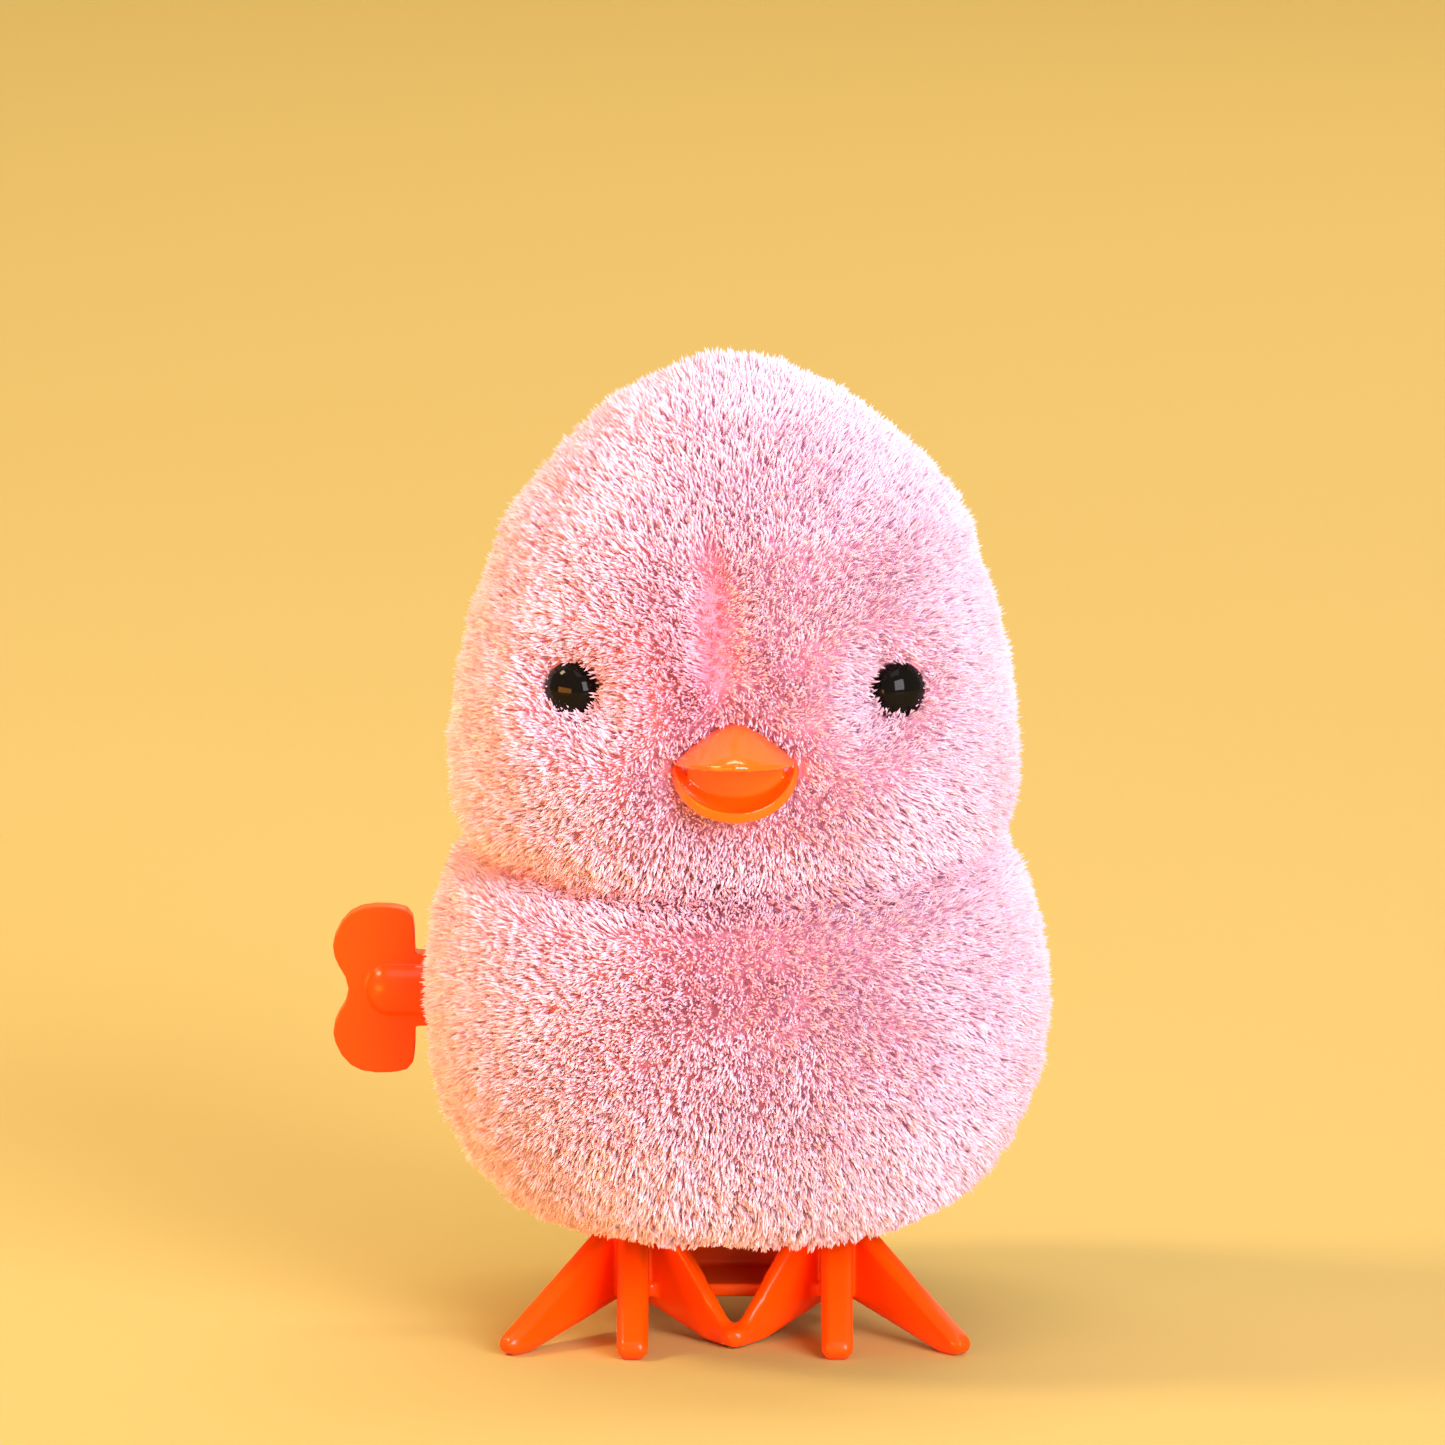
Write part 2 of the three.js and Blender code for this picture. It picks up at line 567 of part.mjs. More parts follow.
// ---- mainspring: a flat strip wound on its side
const SPRING_STRIP = 0.35;
const SPRING_INNER_R = ARBOR_R + SPRING_STRIP / 2 + GAP;
const SPRING_TURNS = 5;
function springShape() {
  const steps = SPRING_TURNS * 14;
  const edge = (offset) =>
    Array.from({ length: steps + 1 }, (_, i) => {
      const share = i / steps;
      const r = SPRING_INNER_R + share * (SPRING_OUTER_R - SPRING_INNER_R) + offset;
      const turn = springEndTurn - 2 * Math.PI * SPRING_TURNS * (1 - share);
      return new THREE.Vector2(...atTurn(KEY_AXIS, r, turn));
    });
  return new THREE.Shape([...edge(SPRING_STRIP / 2), ...edge(-SPRING_STRIP / 2).reverse()]);
}
add("mainspring", plate(springShape(), SPRING_X, SPRING_X + SPRING_WIDTH), STEEL);

// ---- winding group: key, arbor, ratchet wheel, great wheel
const KEY_INNER_X = -BODY_WIDTH / 2 - KEY_CLEAR + 4.2; // the barrel's end, just outside the shell
const KEY_OUTER_X = KEY_INNER_X - KEY_LENGTH;
const WING_INNER_X = -BODY_WIDTH / 2 - KEY_CLEAR;
const SQUARE = 0.84; // half the side of the arbor's square end
function keyWings() {
  const reach = WING_INNER_X - KEY_OUTER_X;
  const span = KEY_SPAN / 2;
  const [outer, inner] = [KEY_OUTER_X, WING_INNER_X];
  const shape = new THREE.Shape();
  shape.moveTo(inner, KEY_SHANK_HALF + 0.1);
  shape.bezierCurveTo(inner - 0.4, 4.4, inner + 0.2, 5.2, inner, span - 1.1);
  shape.bezierCurveTo(inner - 0.2, span + 0.2, inner - 0.6 * reach, span + 0.1, outer + 1.4, span - 0.9);
  shape.bezierCurveTo(outer - 0.5, span - 2, outer - 0.5, 3, outer + 0.7, 2);
  shape.bezierCurveTo(outer + 1.8, 1, outer + 1.8, -1, outer + 0.7, -2);
  shape.bezierCurveTo(outer - 0.5, -3, outer - 0.5, -span + 2, outer + 1.4, -span + 0.9);
  shape.bezierCurveTo(inner - 0.6 * reach, -span - 0.1, inner - 0.2, -span - 0.2, inner, -span + 1.1);
  shape.bezierCurveTo(inner + 0.2, -5.2, inner - 0.4, -4.4, inner, -KEY_SHANK_HALF - 0.1);
  shape.lineTo(inner, -KEY_SHANK_HALF);
  shape.lineTo(KEY_INNER_X - 1.6, -KEY_SHANK_HALF);
  shape.lineTo(KEY_INNER_X - 1.6, KEY_SHANK_HALF);
  shape.lineTo(inner, KEY_SHANK_HALF);
  const options = { depth: KEY_THICK, bevelEnabled: false, curveSegments: 7 };
  const geometry = new THREE.ExtrudeGeometry(shape, options);
  geometry.translate(0, 0, -KEY_THICK / 2);
  geometry.rotateX(Math.PI / 2);
  geometry.translate(0, KEY_AXIS[0], KEY_AXIS[1]);
  return solid(geometry);
}
const squareBar = (half, x0, x1) =>
  block(x0, x1, KEY_AXIS[0] - half, KEY_AXIS[0] + half, KEY_AXIS[1] - half, KEY_AXIS[1] + half);
const KEY_BORE_END = KEY_OUTER_X + 3.4;
add(
  "winding_key",
  cut(
    joined(keyWings(), rod(KEY_AXIS, KEY_BARREL_R, KEY_OUTER_X + 2.6, KEY_INNER_X, 14)),
    squareBar(SQUARE + GAP / 2, KEY_BORE_END, 0),
  ),
  ORANGE,
);
add(
  "winding_arbor",
  joined(
    squareBar(SQUARE, KEY_BORE_END + GAP, KEY_INNER_X + 1.2),
    rod(KEY_AXIS, ARBOR_R, KEY_INNER_X + 1, CASE_HALF_WIDTH - GAP),
  ),
  STEEL,
);
const firstPhase = towards(KEY_AXIS, SECOND_AXIS);
const PAWL_R = 6.2; // the click's stud, out from the arbor
const PAWL_STUD_R = 0.5;
const pawlTurn = Math.PI * 0.62;
const pawlStud = atTurn(KEY_AXIS, PAWL_R, pawlTurn);
add(
  "great_wheel",
  joined(
    plate(gearShape(KEY_AXIS, GREAT_TEETH, firstPhase, boreFor(ARBOR_R, 24)), GREAT_X, GREAT_X + WHEEL_THICK),
    rod(pawlStud, PAWL_STUD_R, GREAT_X + WHEEL_THICK / 2, RATCHET_X + RATCHET_THICK - 0.1),
  ),
  GEAR_WHITE,
);
const RATCHET_TEETH = 12;
const RATCHET_R = 3.2;
const RATCHET_DEPTH = 0.7;
function ratchetShape() {
  const points = [];
  for (let tooth = 0; tooth < RATCHET_TEETH; tooth++) {
    const turn = (2 * Math.PI * tooth) / RATCHET_TEETH;
    points.push(new THREE.Vector2(...atTurn(KEY_AXIS, RATCHET_R - RATCHET_DEPTH, turn)));
    points.push(new THREE.Vector2(...atTurn(KEY_AXIS, RATCHET_R, turn + 0.04)));
  }
  const shape = new THREE.Shape(points);
  shape.holes.push(disc(KEY_AXIS, boreFor(ARBOR_R, 24)));
  return shape;
}
add("ratchet_wheel", plate(ratchetShape(), RATCHET_X, RATCHET_X + RATCHET_THICK), GEAR_WHITE);

// The click: an arm from the great wheel's stud to the ratchet's teeth.
const clickTip = atTurn(KEY_AXIS, RATCHET_R + 0.42, pawlTurn - 0.75);
const clickArm = wrapped([[...pawlStud, 1.1], [...clickTip, 0.3]], 16);
clickArm.holes.push(disc(pawlStud, boreFor(PAWL_STUD_R, 24)));
add("click_pawl", plate(clickArm, RATCHET_X + 0.05, RATCHET_X + RATCHET_THICK - 0.05), STEEL);

// ---- second wheel and its arbor
const secondPinionPhase = meshingPhase(SECOND_AXIS, KEY_AXIS, PINION_TEETH);
const secondWheelPhase = towards(SECOND_AXIS, CRANK_AXIS);
add(
  "second_wheel",
  cut(
    joined(
      plate(gearShape(SECOND_AXIS, PINION_TEETH, secondPinionPhase), GREAT_X, GREAT_X + WHEEL_THICK + GAP),
      rod(SECOND_AXIS, 1.6, GREAT_X + WHEEL_THICK, SECOND_X + 0.2),
      plate(gearShape(SECOND_AXIS, SECOND_TEETH, secondWheelPhase), SECOND_X, SECOND_X + WHEEL_THICK),
    ),
    rod(SECOND_AXIS, boreFor(SMALL_ARBOR_R), -60, 60),
  ),
  GEAR_WHITE,
);
add("second_arbor", rod(SECOND_AXIS, SMALL_ARBOR_R, -CASE_HALF_WIDTH + GAP, CASE_HALF_WIDTH - GAP), STEEL);

// ---- crank group
const crankPhase = meshingPhase(CRANK_AXIS, SECOND_AXIS, PINION_TEETH);
const crankBore = boreFor(CRANK_SHAFT_R, 24);
add(
  "crank_pinion",
  plate(gearShape(CRANK_AXIS, PINION_TEETH, crankPhase, crankBore), SECOND_X - 0.2, SECOND_X + WHEEL_THICK + 0.2),
  GEAR_WHITE,
);
const crankEnd = DISC_X + CRANK_DISC_THICK - 0.6;
add("crank_shaft", rod(CRANK_AXIS, CRANK_SHAFT_R, -crankEnd, crankEnd), STEEL);
const crankPinAt = atTurn(CRANK_AXIS, CRANK_THROW, Math.PI / 2);
for (const [name, side] of RIGHT_AND_LEFT) {
  const face = plate(disc(CRANK_AXIS, CRANK_DISC_R), ...mirrored(side, DISC_X, DISC_X + CRANK_DISC_THICK), 9);
  const pin = rod(crankPinAt, CRANK_PIN_R, ...mirrored(side, DISC_X + CRANK_DISC_THICK - 0.2, PIN_END_X), 6);
  const bored = face.subtract(rod(CRANK_AXIS, boreFor(CRANK_SHAFT_R), ...mirrored(side, DISC_X - 1, crankEnd + RUNNING)));
  add(`crank_disc_${name}`, joined(bored, pin), GEAR_WHITE);
}

// ---- feet: one moulding, two splayed feet joined by a sole web, a cross wall and two ears
// A toe's side profile: low and round at the tip, rising to the ankle.
function toe(ankleX, side, { reach, thick, lean, slope }) {
  const nose = TOE_TIP_HEIGHT / 2;
  const crest = reach - (ANKLE_TOP - TOE_TIP_HEIGHT) / slope;
  const shape = new THREE.Shape();
  shape.moveTo(-1, ARCH_HEIGHT);
  shape.lineTo(reach - TOE_PAD - ARCH_HEIGHT / ARCH_SLOPE, ARCH_HEIGHT);
  shape.lineTo(reach - TOE_PAD, 0);
  shape.lineTo(reach - nose, 0);
  shape.absarc(reach - nose, nose, nose, -Math.PI / 2, Math.PI / 3, false);
  if (crest > 0) shape.lineTo(crest, ANKLE_TOP);
  shape.lineTo(-1, Math.min(ANKLE_TOP, ANKLE_TOP + (crest + 1) * slope));
  const bevel = thick / 5;
  const options = {
    depth: thick - 2 * bevel,
    bevelSize: bevel,
    bevelOffset: -bevel,
    bevelThickness: bevel,
    bevelSegments: 1,
    curveSegments: 4,
  };
  const geometry = new THREE.ExtrudeGeometry(shape, options);
  geometry.translate(0, 0, -(thick - 2 * bevel) / 2);
  geometry.rotateX(Math.PI / 2);
  geometry.rotateZ(-Math.PI / 2 + (side * lean * Math.PI) / 180);
  geometry.translate(ankleX, ANKLE_Y, 0);
  return solid(geometry);
}
const inFrame = (turn) => {
  const [y, z] = [CRANK_AXIS[0] - PIVOT_AXIS[0], CRANK_AXIS[1] - PIVOT_AXIS[1]];
  const [c, s] = [Math.cos(turn), Math.sin(turn)];
  return [PIVOT_AXIS[0] + y * c + z * s, PIVOT_AXIS[1] - y * s + z * c];
};
const windowR = CRANK_THROW + CRANK_PIN_R + GAP;
const windowEnds = [inFrame(0), inFrame(HOP_ANGLE)];
const earShape = wrapped([
  ...windowEnds.map((end) => [...end, windowR + EAR_RIM]),
  [...PIVOT_AXIS, PIVOT_BOSS_R],
  [ANKLE_Y, ANKLE_TOP - 2.5, 1],
  [3, ANKLE_TOP - 2.5, 1],
]);
earShape.holes.push(wrapped(windowEnds.map((end) => [...end, windowR]), 20));
earShape.holes.push(disc(PIVOT_AXIS, boreFor(PIVOT_ROD_R, 24)));
const WALL_Y = 3;
const webTop = ARCH_HEIGHT + WEB_THICK;
const footPieces = [
  block(-ANKLE_X, ANKLE_X, ANKLE_Y - 3.4, WALL_Y, ARCH_HEIGHT, webTop),
  block(-EAR_X - 0.4, EAR_X + 0.4, WALL_Y - 0.6, WALL_Y + 0.6, ARCH_HEIGHT, ANKLE_TOP - 0.4),
  turned(bar(PAD_R, 0, TOE_TIP_HEIGHT), new THREE.Vector3(0, -PAD_REACH, 0), AXIS_Z),
];
for (const [, side] of RIGHT_AND_LEFT) {
  footPieces.push(
    ...[FRONT_TOE, OUTER_TOE, INNER_TOE].map((kind) => toe(side * ANKLE_X, side, kind)),
    toe(side * ANKLE_X, side, HEEL_TOE),
    block(...mirrored(side, EAR_X - 1, EAR_X + EAR_THICK), ANKLE_Y - 1, WALL_Y + 0.6, ARCH_HEIGHT, ANKLE_TOP - 0.5),
    plate(earShape, ...mirrored(side, EAR_X, EAR_X + EAR_THICK)),
  );
}
add("feet", joined(...footPieces), ORANGE);

// ---- the rod that the feet rock on, and its clips
add("foot_pivot_rod", rod(PIVOT_AXIS, PIVOT_ROD_R, -ROD_END_X, ROD_END_X), STEEL);
for (const [name, side] of RIGHT_AND_LEFT) {
  const clip = disc(PIVOT_AXIS, CLIP_R);
  clip.holes.push(disc(PIVOT_AXIS, boreFor(PIVOT_ROD_R, 20)));
  add(`pivot_clip_${name}`, plate(clip, ...mirrored(side, EAR_X + EAR_THICK + GAP, ROD_END_X - 0.1), 10), STEEL);
}

export default model;
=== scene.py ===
"""A wind-up hopping chick: plush over a moulded body, orange beak, key and feet, black bead eyes."""
import json
import math

import bmesh
import bpy
import numpy as np
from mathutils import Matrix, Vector

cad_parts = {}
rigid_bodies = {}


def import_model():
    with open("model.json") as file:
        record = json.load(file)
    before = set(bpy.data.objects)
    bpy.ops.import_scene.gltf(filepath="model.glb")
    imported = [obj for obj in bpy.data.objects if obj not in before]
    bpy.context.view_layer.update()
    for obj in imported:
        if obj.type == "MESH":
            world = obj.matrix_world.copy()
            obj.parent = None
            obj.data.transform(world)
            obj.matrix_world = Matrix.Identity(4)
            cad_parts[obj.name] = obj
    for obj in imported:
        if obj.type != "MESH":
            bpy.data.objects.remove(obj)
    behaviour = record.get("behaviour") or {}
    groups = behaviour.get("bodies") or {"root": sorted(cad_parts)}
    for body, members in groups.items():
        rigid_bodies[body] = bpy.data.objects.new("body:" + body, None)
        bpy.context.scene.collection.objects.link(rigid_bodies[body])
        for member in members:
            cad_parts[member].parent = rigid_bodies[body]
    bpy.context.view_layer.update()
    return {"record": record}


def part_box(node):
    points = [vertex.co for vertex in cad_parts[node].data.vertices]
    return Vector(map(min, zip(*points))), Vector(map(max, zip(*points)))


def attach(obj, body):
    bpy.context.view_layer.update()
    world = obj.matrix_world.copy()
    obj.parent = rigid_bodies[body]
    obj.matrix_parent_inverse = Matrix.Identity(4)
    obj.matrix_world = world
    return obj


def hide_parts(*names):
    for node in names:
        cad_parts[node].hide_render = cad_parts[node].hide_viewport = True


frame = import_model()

MM = 0.001
SEED = 7

# ------------------------------------------------------------------ places, from the frame
PLUSH_LOW, PLUSH_HIGH = (np.array(corner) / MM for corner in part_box("plush_cover"))
FRONT_DEPTH = 27.0  # from the cover's front back to the upright line that its sections are drawn round
MIDDLE_Y = PLUSH_LOW[1] + FRONT_DEPTH
BACK_DEPTH = PLUSH_HIGH[1] - MIDDLE_Y
HALF_WIDTH = PLUSH_HIGH[0]
BELLY_Z, CROWN_Z = PLUSH_LOW[2], PLUSH_HIGH[2]
KEY_LOW, KEY_HIGH = (np.array(corner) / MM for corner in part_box("winding_key"))
KEY_AXIS = (KEY_LOW + KEY_HIGH) / 2
BEAK_LOW, BEAK_HIGH = (np.array(corner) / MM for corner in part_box("beak"))
MOUTH_Z = 55.1
BEAK_LENGTH = 8.2  # from the upper bill's tip back to the face
BEAK_ROOT_Y = BEAK_LOW[1] + BEAK_LENGTH


def middle(node):
    low, high = (np.array(corner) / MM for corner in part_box(node))
    return (low + high) / 2


# ------------------------------------------------------------------ camera, floor and lights
AIM_X, AIM_Z = -1.1, 54.6
CAMERA_RISE, CAMERA_REACH, CAMERA_LENS = 10, 1.2, 334.8


def set_camera():
    """A long lens from the front, a little above."""
    target = Vector((AIM_X * MM, MIDDLE_Y * MM, AIM_Z * MM))
    rise = math.radians(CAMERA_RISE)
    camera = bpy.data.objects.new("camera", bpy.data.cameras.new("camera"))
    camera.location = target + Vector((0, -math.cos(rise), math.sin(rise))) * CAMERA_REACH
    camera.rotation_euler = (math.radians(90) - rise, 0, 0)
    camera.data.lens = CAMERA_LENS
    camera.data.sensor_width = 36
    camera.data.clip_start = 0.05
    bpy.context.collection.objects.link(camera)
    bpy.context.scene.camera = camera


def soft_box(name, place, size, watts, colour, aim=(0, 0, 0.045)):
    """A rectangular area light, in metres, turned to face a place; the toy's middle if none is given."""
    light = bpy.data.lights.new(name, "AREA")
    light.shape = "RECTANGLE"
    light.size, light.size_y = size
    light.energy = watts
    light.color = colour
    lamp = bpy.data.objects.new(name, light)
    lamp.location = place
    lamp.rotation_euler = (Vector(aim) - Vector(place)).to_track_quat("-Z", "Y").to_euler()
    bpy.context.collection.objects.link(lamp)


def build_stage():
    """A pale sheet that lies under the toy and curves up behind it."""
    half, front, bend, radius, top = 2.5, -1.6, 1.1, 0.6, 2.4
    rows = [(front, 0.0), (bend, 0.0)]
    for a in np.linspace(0.1, math.pi / 2, 16):
        rows.append((bend + radius * math.sin(a), radius * (1 - math.cos(a))))
    rows.append((bend + radius, top))
    mesh = bpy.data.meshes.new("sweep")
    points = [(x, y, z) for y, z in rows for x in (-half, half)]
    faces = [(2 * i, 2 * i + 1, 2 * i + 3, 2 * i + 2) for i in range(len(rows) - 1)]
    mesh.from_pydata(points, [], faces)
    mesh.shade_smooth()
    sweep = bpy.data.objects.new("sweep", mesh)
    bpy.context.collection.objects.link(sweep)
    mat = bpy.data.materials.new("paper_sweep")
    mat.use_nodes = True
    shader = mat.node_tree.nodes["Principled BSDF"]
    shader.inputs["Base Color"].default_value = (0.56, 0.42, 0.13, 1)
    shader.inputs["Roughness"].default_value = 0.8
    mesh.materials.append(mat)


def light_scene():
    world = bpy.data.worlds.new("studio")
    world.use_nodes = True
    world.node_tree.nodes["Background"].inputs["Color"].default_value = (1.0, 0.8, 0.55, 1)
    world.node_tree.nodes["Background"].inputs["Strength"].default_value = 0.42
    scene = bpy.context.scene
    scene.world = world
    scene.view_settings.view_transform = "Standard"
    soft_box("key_light", (-0.5, 0.0, 0.55), (0.16, 0.16), 3.0, (1.0, 0.74, 0.42))
    soft_box("front_light", (0.55, -0.85, 0.42), (0.6, 0.6), 14.5, (1.0, 0.94, 1.0))
    soft_box("back_fill", (0.25, 0.8, 0.6), (0.6, 0.6), 1.6, (1.0, 0.9, 0.85))
    soft_box("top_light", (0.1, -0.3, 0.9), (0.5, 0.5), 1.2, (1.0, 0.97, 1.0))
    soft_box("warm_card", (-0.5, -0.4, 0.02), (0.5, 0.25), 6.0, (1.0, 0.36, 0.04))
    soft_box("wall_light", (0.0, 0.5, 1.9), (1.6, 0.5), 27, (1.0, 0.9, 0.75), aim=(0, 1.75, 0.7))


# ------------------------------------------------------------------ mesh helpers
def piece_from(name, vertices, faces, smooth=True):
    """A mesh piece at the origin, from places in millimetres."""
    mesh = bpy.data.meshes.new(name)
    mesh.from_pydata((np.asarray(vertices, dtype=float) * MM).tolist(), [], faces)
    mesh.validate()
    if smooth:
        mesh.shade_smooth()
    piece = bpy.data.objects.new(name, mesh)
    bpy.context.collection.objects.link(piece)
    return piece


def lathe(name, profile, origin, direction, segments=48):
    """A turned piece: profile is (radius, height) in millimetres, height along the direction."""
    turn = Vector((0, 0, 1)).rotation_difference(Vector(direction)).to_matrix()
    vertices, faces, rings = [], [], []
    for radius, height in profile:
        count = 1 if radius < 1e-6 else segments
        ring = []
        for i in range(count):
            a = 2 * math.pi * i / segments
            local = Vector((radius * math.cos(a), radius * math.sin(a), height))
            ring.append(len(vertices))
            vertices.append(np.array(turn @ local) + origin)
        rings.append(ring)
    for low, high in zip(rings, rings[1:]):
        for i in range(segments):
            j = (i + 1) % segments
            corners = [low[i % len(low)], low[j % len(low)], high[j % len(high)], high[i % len(high)]]
            faces.append(list(dict.fromkeys(corners)))
    return piece_from(name, vertices, faces)


def finished(piece, name):
    """The piece with its modifiers made real, under a new name; the working piece is removed."""
    depsgraph = bpy.context.evaluated_depsgraph_get()
    mesh = bpy.data.meshes.new_from_object(piece.evaluated_get(depsgraph))
    bpy.data.objects.remove(piece)
    mesh.name = name
    made = bpy.data.objects.new(name, mesh)
    bpy.context.collection.objects.link(made)
    return made


MERGE_WITHIN = 1e-7  # metres


def moulded(name, sources, voxel, rounds, faces):
    """The sources run together and softened at their edges, as one moulding of about so many faces."""
    mesh = bpy.data.meshes.new(name)
    together = bmesh.new()
    for source in sources:
        together.from_mesh(source.data)
    bmesh.ops.remove_doubles(together, verts=together.verts, dist=MERGE_WITHIN)
    together.to_mesh(mesh)
    together.free()
    working = bpy.data.objects.new(name + "_working", mesh)
    bpy.context.collection.objects.link(working)
    remesh = working.modifiers.new("fuse", "REMESH")
    remesh.mode = "VOXEL"
    remesh.voxel_size = voxel * MM
    soften = working.modifiers.new("soften", "SMOOTH")
    soften.factor = 0.5
    soften.iterations = rounds
    made = finished(working, name)
    thin = made.modifiers.new("thin", "DECIMATE")
    thin.ratio = min(1.0, faces / (2 * max(1, len(made.data.polygons))))
    made = finished(made, name)
    made.data.shade_smooth()
    return made


def copy_of_node(node):
    """A copy of a frame node's mesh, to work on."""
    source = next(o for o in bpy.data.objects if o.type == "MESH" and o.name == node)
    copy = bpy.data.objects.new(node + "_copy", source.data.copy())
    bpy.context.collection.objects.link(copy)
    return copy


# ------------------------------------------------------------------ the plush form
# height, half width, front and back, each as a share of the cover's own sizes
SECTIONS = np.array([
    (0.0, 0.59, 0.6, 0.57), (0.022, 0.7, 0.7, 0.68), (0.07, 0.828, 0.825, 0.8),
    (0.13, 0.934, 0.93, 0.91), (0.2, 0.988, 0.985, 0.98), (0.28, 1.0, 1.0, 1.0),
    (0.355, 0.968, 0.968, 0.93), (0.41, 0.912, 0.912, 0.835), (0.453, 0.857, 0.862, 0.762),
    (0.485, 0.882, 0.904, 0.768), (0.543, 0.91, 0.937, 0.782), (0.63, 0.882, 0.914, 0.768),
    (0.73, 0.815, 0.845, 0.72), (0.82, 0.718, 0.757, 0.64), (0.9, 0.53, 0.573, 0.47),
    (0.955, 0.375, 0.41, 0.32), (1.0, 0.31, 0.34, 0.26),
])
FINE_ROWS, BLUR_REACH, BLUR_SPREAD = 1600, 60, 17  # the sections are blurred over a finely cut height
CROWN_FROM, CROWN_SHARE = 0.955, 0.045  # where the crown starts to close, and its share of the height
SQUARENESS = 0.96  # 1 is an ellipse, less is squarer
PILE = 1.9  # from the cloth out to the form that the fibres' tips reach
AROUND, UP = 176, 132
NECK_Z = 44.5
OPENING_HALF, OPENING_DEEP = 14.4, 13.0
HEM_RISE, HEM_SAG, LIP_RISE = 2.1, 0.7, 1.2
CLOTH_WALL = 1.0
KEY_HOLE_R, KEY_BARE_R = 3.5, 3.7


def bump(distance, spread):
    """A smooth hump: 1 at no distance, falling away over the spread."""
    return np.exp(-0.5 * (distance / spread) ** 2)


def envelope():
    """The smooth outer form as a grid of places, rows from the belly's edge to the crown."""
    fine = np.linspace(0, 1, FINE_ROWS)
    kernel = bump(np.arange(-BLUR_REACH, BLUR_REACH + 1), BLUR_SPREAD)
    kernel /= kernel.sum()
    share = []
    for k in (1, 2, 3):
        straight = np.interp(fine, SECTIONS[:, 0], SECTIONS[:, k])
        share.append(np.convolve(np.pad(straight, BLUR_REACH, mode="edge"), kernel, "valid"))
    # rows are spaced by the length of the profile, so that the crown is as finely divided as the sides
    z = BELLY_Z + fine * (CROWN_Z - BELLY_Z)
    crown = np.sqrt(np.clip((1 - fine) / CROWN_SHARE, 0, 1))
    share = [s * np.where(fine > CROWN_FROM, crown, 1) for s in share]
    run = np.concatenate([[0], np.cumsum(np.hypot(np.diff(share[0] * HALF_WIDTH), np.diff(z)))])
    rows = np.interp(np.linspace(0, run[-1], UP), run, fine)
    half, front, back = (np.interp(rows, fine, s) for s in share)
    turn = 2 * np.pi * np.arange(AROUND) / AROUND
    c, s = np.cos(turn), np.sin(turn)
    c, s = np.sign(c) * np.abs(c) ** SQUARENESS, np.sign(s) * np.abs(s) ** SQUARENESS
    x = half[:, None] * HALF_WIDTH * c
    y = np.where(s < 0, front[:, None] * FRONT_DEPTH * s, back[:, None] * BACK_DEPTH * s)
    heights = np.repeat((BELLY_Z + rows * (CROWN_Z - BELLY_Z))[:, None], AROUND, 1)
    return np.stack([x, y, heights], 2)


def grid_normals(grid):
    """The outward direction at each place of a grid that closes round and ends at the crown."""
    across = np.roll(grid, -1, 1) - np.roll(grid, 1, 1)
    up = np.gradient(grid, axis=0)
    normal = np.cross(across, up)
    normal[-1] = (0, 0, 1)
    return normal / np.maximum(np.linalg.norm(normal, axis=2, keepdims=True), 1e-9)


EYE_DROP = 0.6  # how far the beads sit below the CAD's
EYES = {side: middle("eye_" + side) - (0, MIDDLE_Y, EYE_DROP) for side in ("right", "left")}
DART_X = -1.7


def dart_line(x, y, z):
    """How far a place is from the dart down the forehead, and how open the dart is at that height."""
    reach = np.clip((z - 61) / 1.5, 0, 1) * np.clip((75 - z) / 8, 0, 1) * (y < 0)
    return x - DART_X - 0.03 * (66 - z), reach


def neck_height(y):
    """The neck's fold dips towards the front."""
    return NECK_Z - 1.9 * np.clip(-y / 22, -0.5, 1)


def to_front(y):
    return np.clip(-y / 12, 0, 1)


def to_key_side(x):
    return np.clip((4 - x) / 20, 0.25, 1)


def neck_fold(x, y, z, spread):
    """How far into the fold under the chin a place is; the fold is deepest in front, on the key's side."""
    return bump(z - neck_height(y), spread) * to_front(y) * to_key_side(x)


def shaped(grid):
    """The form with its seams pinched in, its cheeks full and its eye and beak seats pressed down."""
    normal = grid_normals(grid)
    x, y, z = grid[..., 0], grid[..., 1], grid[..., 2]
    front = to_front(y)
    neck = neck_height(y)
    push = np.zeros_like(x)
    # the neck's fold, the flatter crown, the jowl over the fold and the forehead's dart
    push -= 0.3 * bump(z - neck, 1.2) + 1.5 * neck_fold(x, y, z, 1.1)
    push -= 0.5 * np.clip((z - 83) / 4, 0, 1)
    push += 0.8 * front * to_key_side(x) * bump(z - neck - 3.4, 2.2)
    push -= 0.5 * front * bump(x - DART_X, 3.0) * bump(z - 69, 6)
    # the eyes' seats and the cheeks below them
    for side, sign in (("right", -1), ("left", 1)):
        apart = np.hypot((x - EYES[side][0]) * 1.15, z - EYES[side][2])
        push -= front * (1.9 * bump(apart, 3.1) - 0.5 * bump(apart - 6.5, 2.2))
        push += 0.8 * front * bump(np.hypot(x - sign * 12, z - 52.5), 6)
    # the beak's seat, the crown's two humps, the fuller left temple and the belly
    push -= 1.3 * front * bump(np.hypot(x, 1.1 * (z - 54.5)), 5.2)
    push += 0.6 * (bump(x + 3.6, 2.4) + 0.9 * bump(x - 4.2, 2.4)) * np.clip((z - 82) / 5, 0, 1)
    push += 0.6 * bump(x - 18, 5) * bump(z - 75.5, 4) * np.clip(1 - np.abs(y) / 20, 0, 1)
    push += 0.5 * front * bump(x, 12) * bump(z - 26, 9)
    return grid + normal * push[..., None]


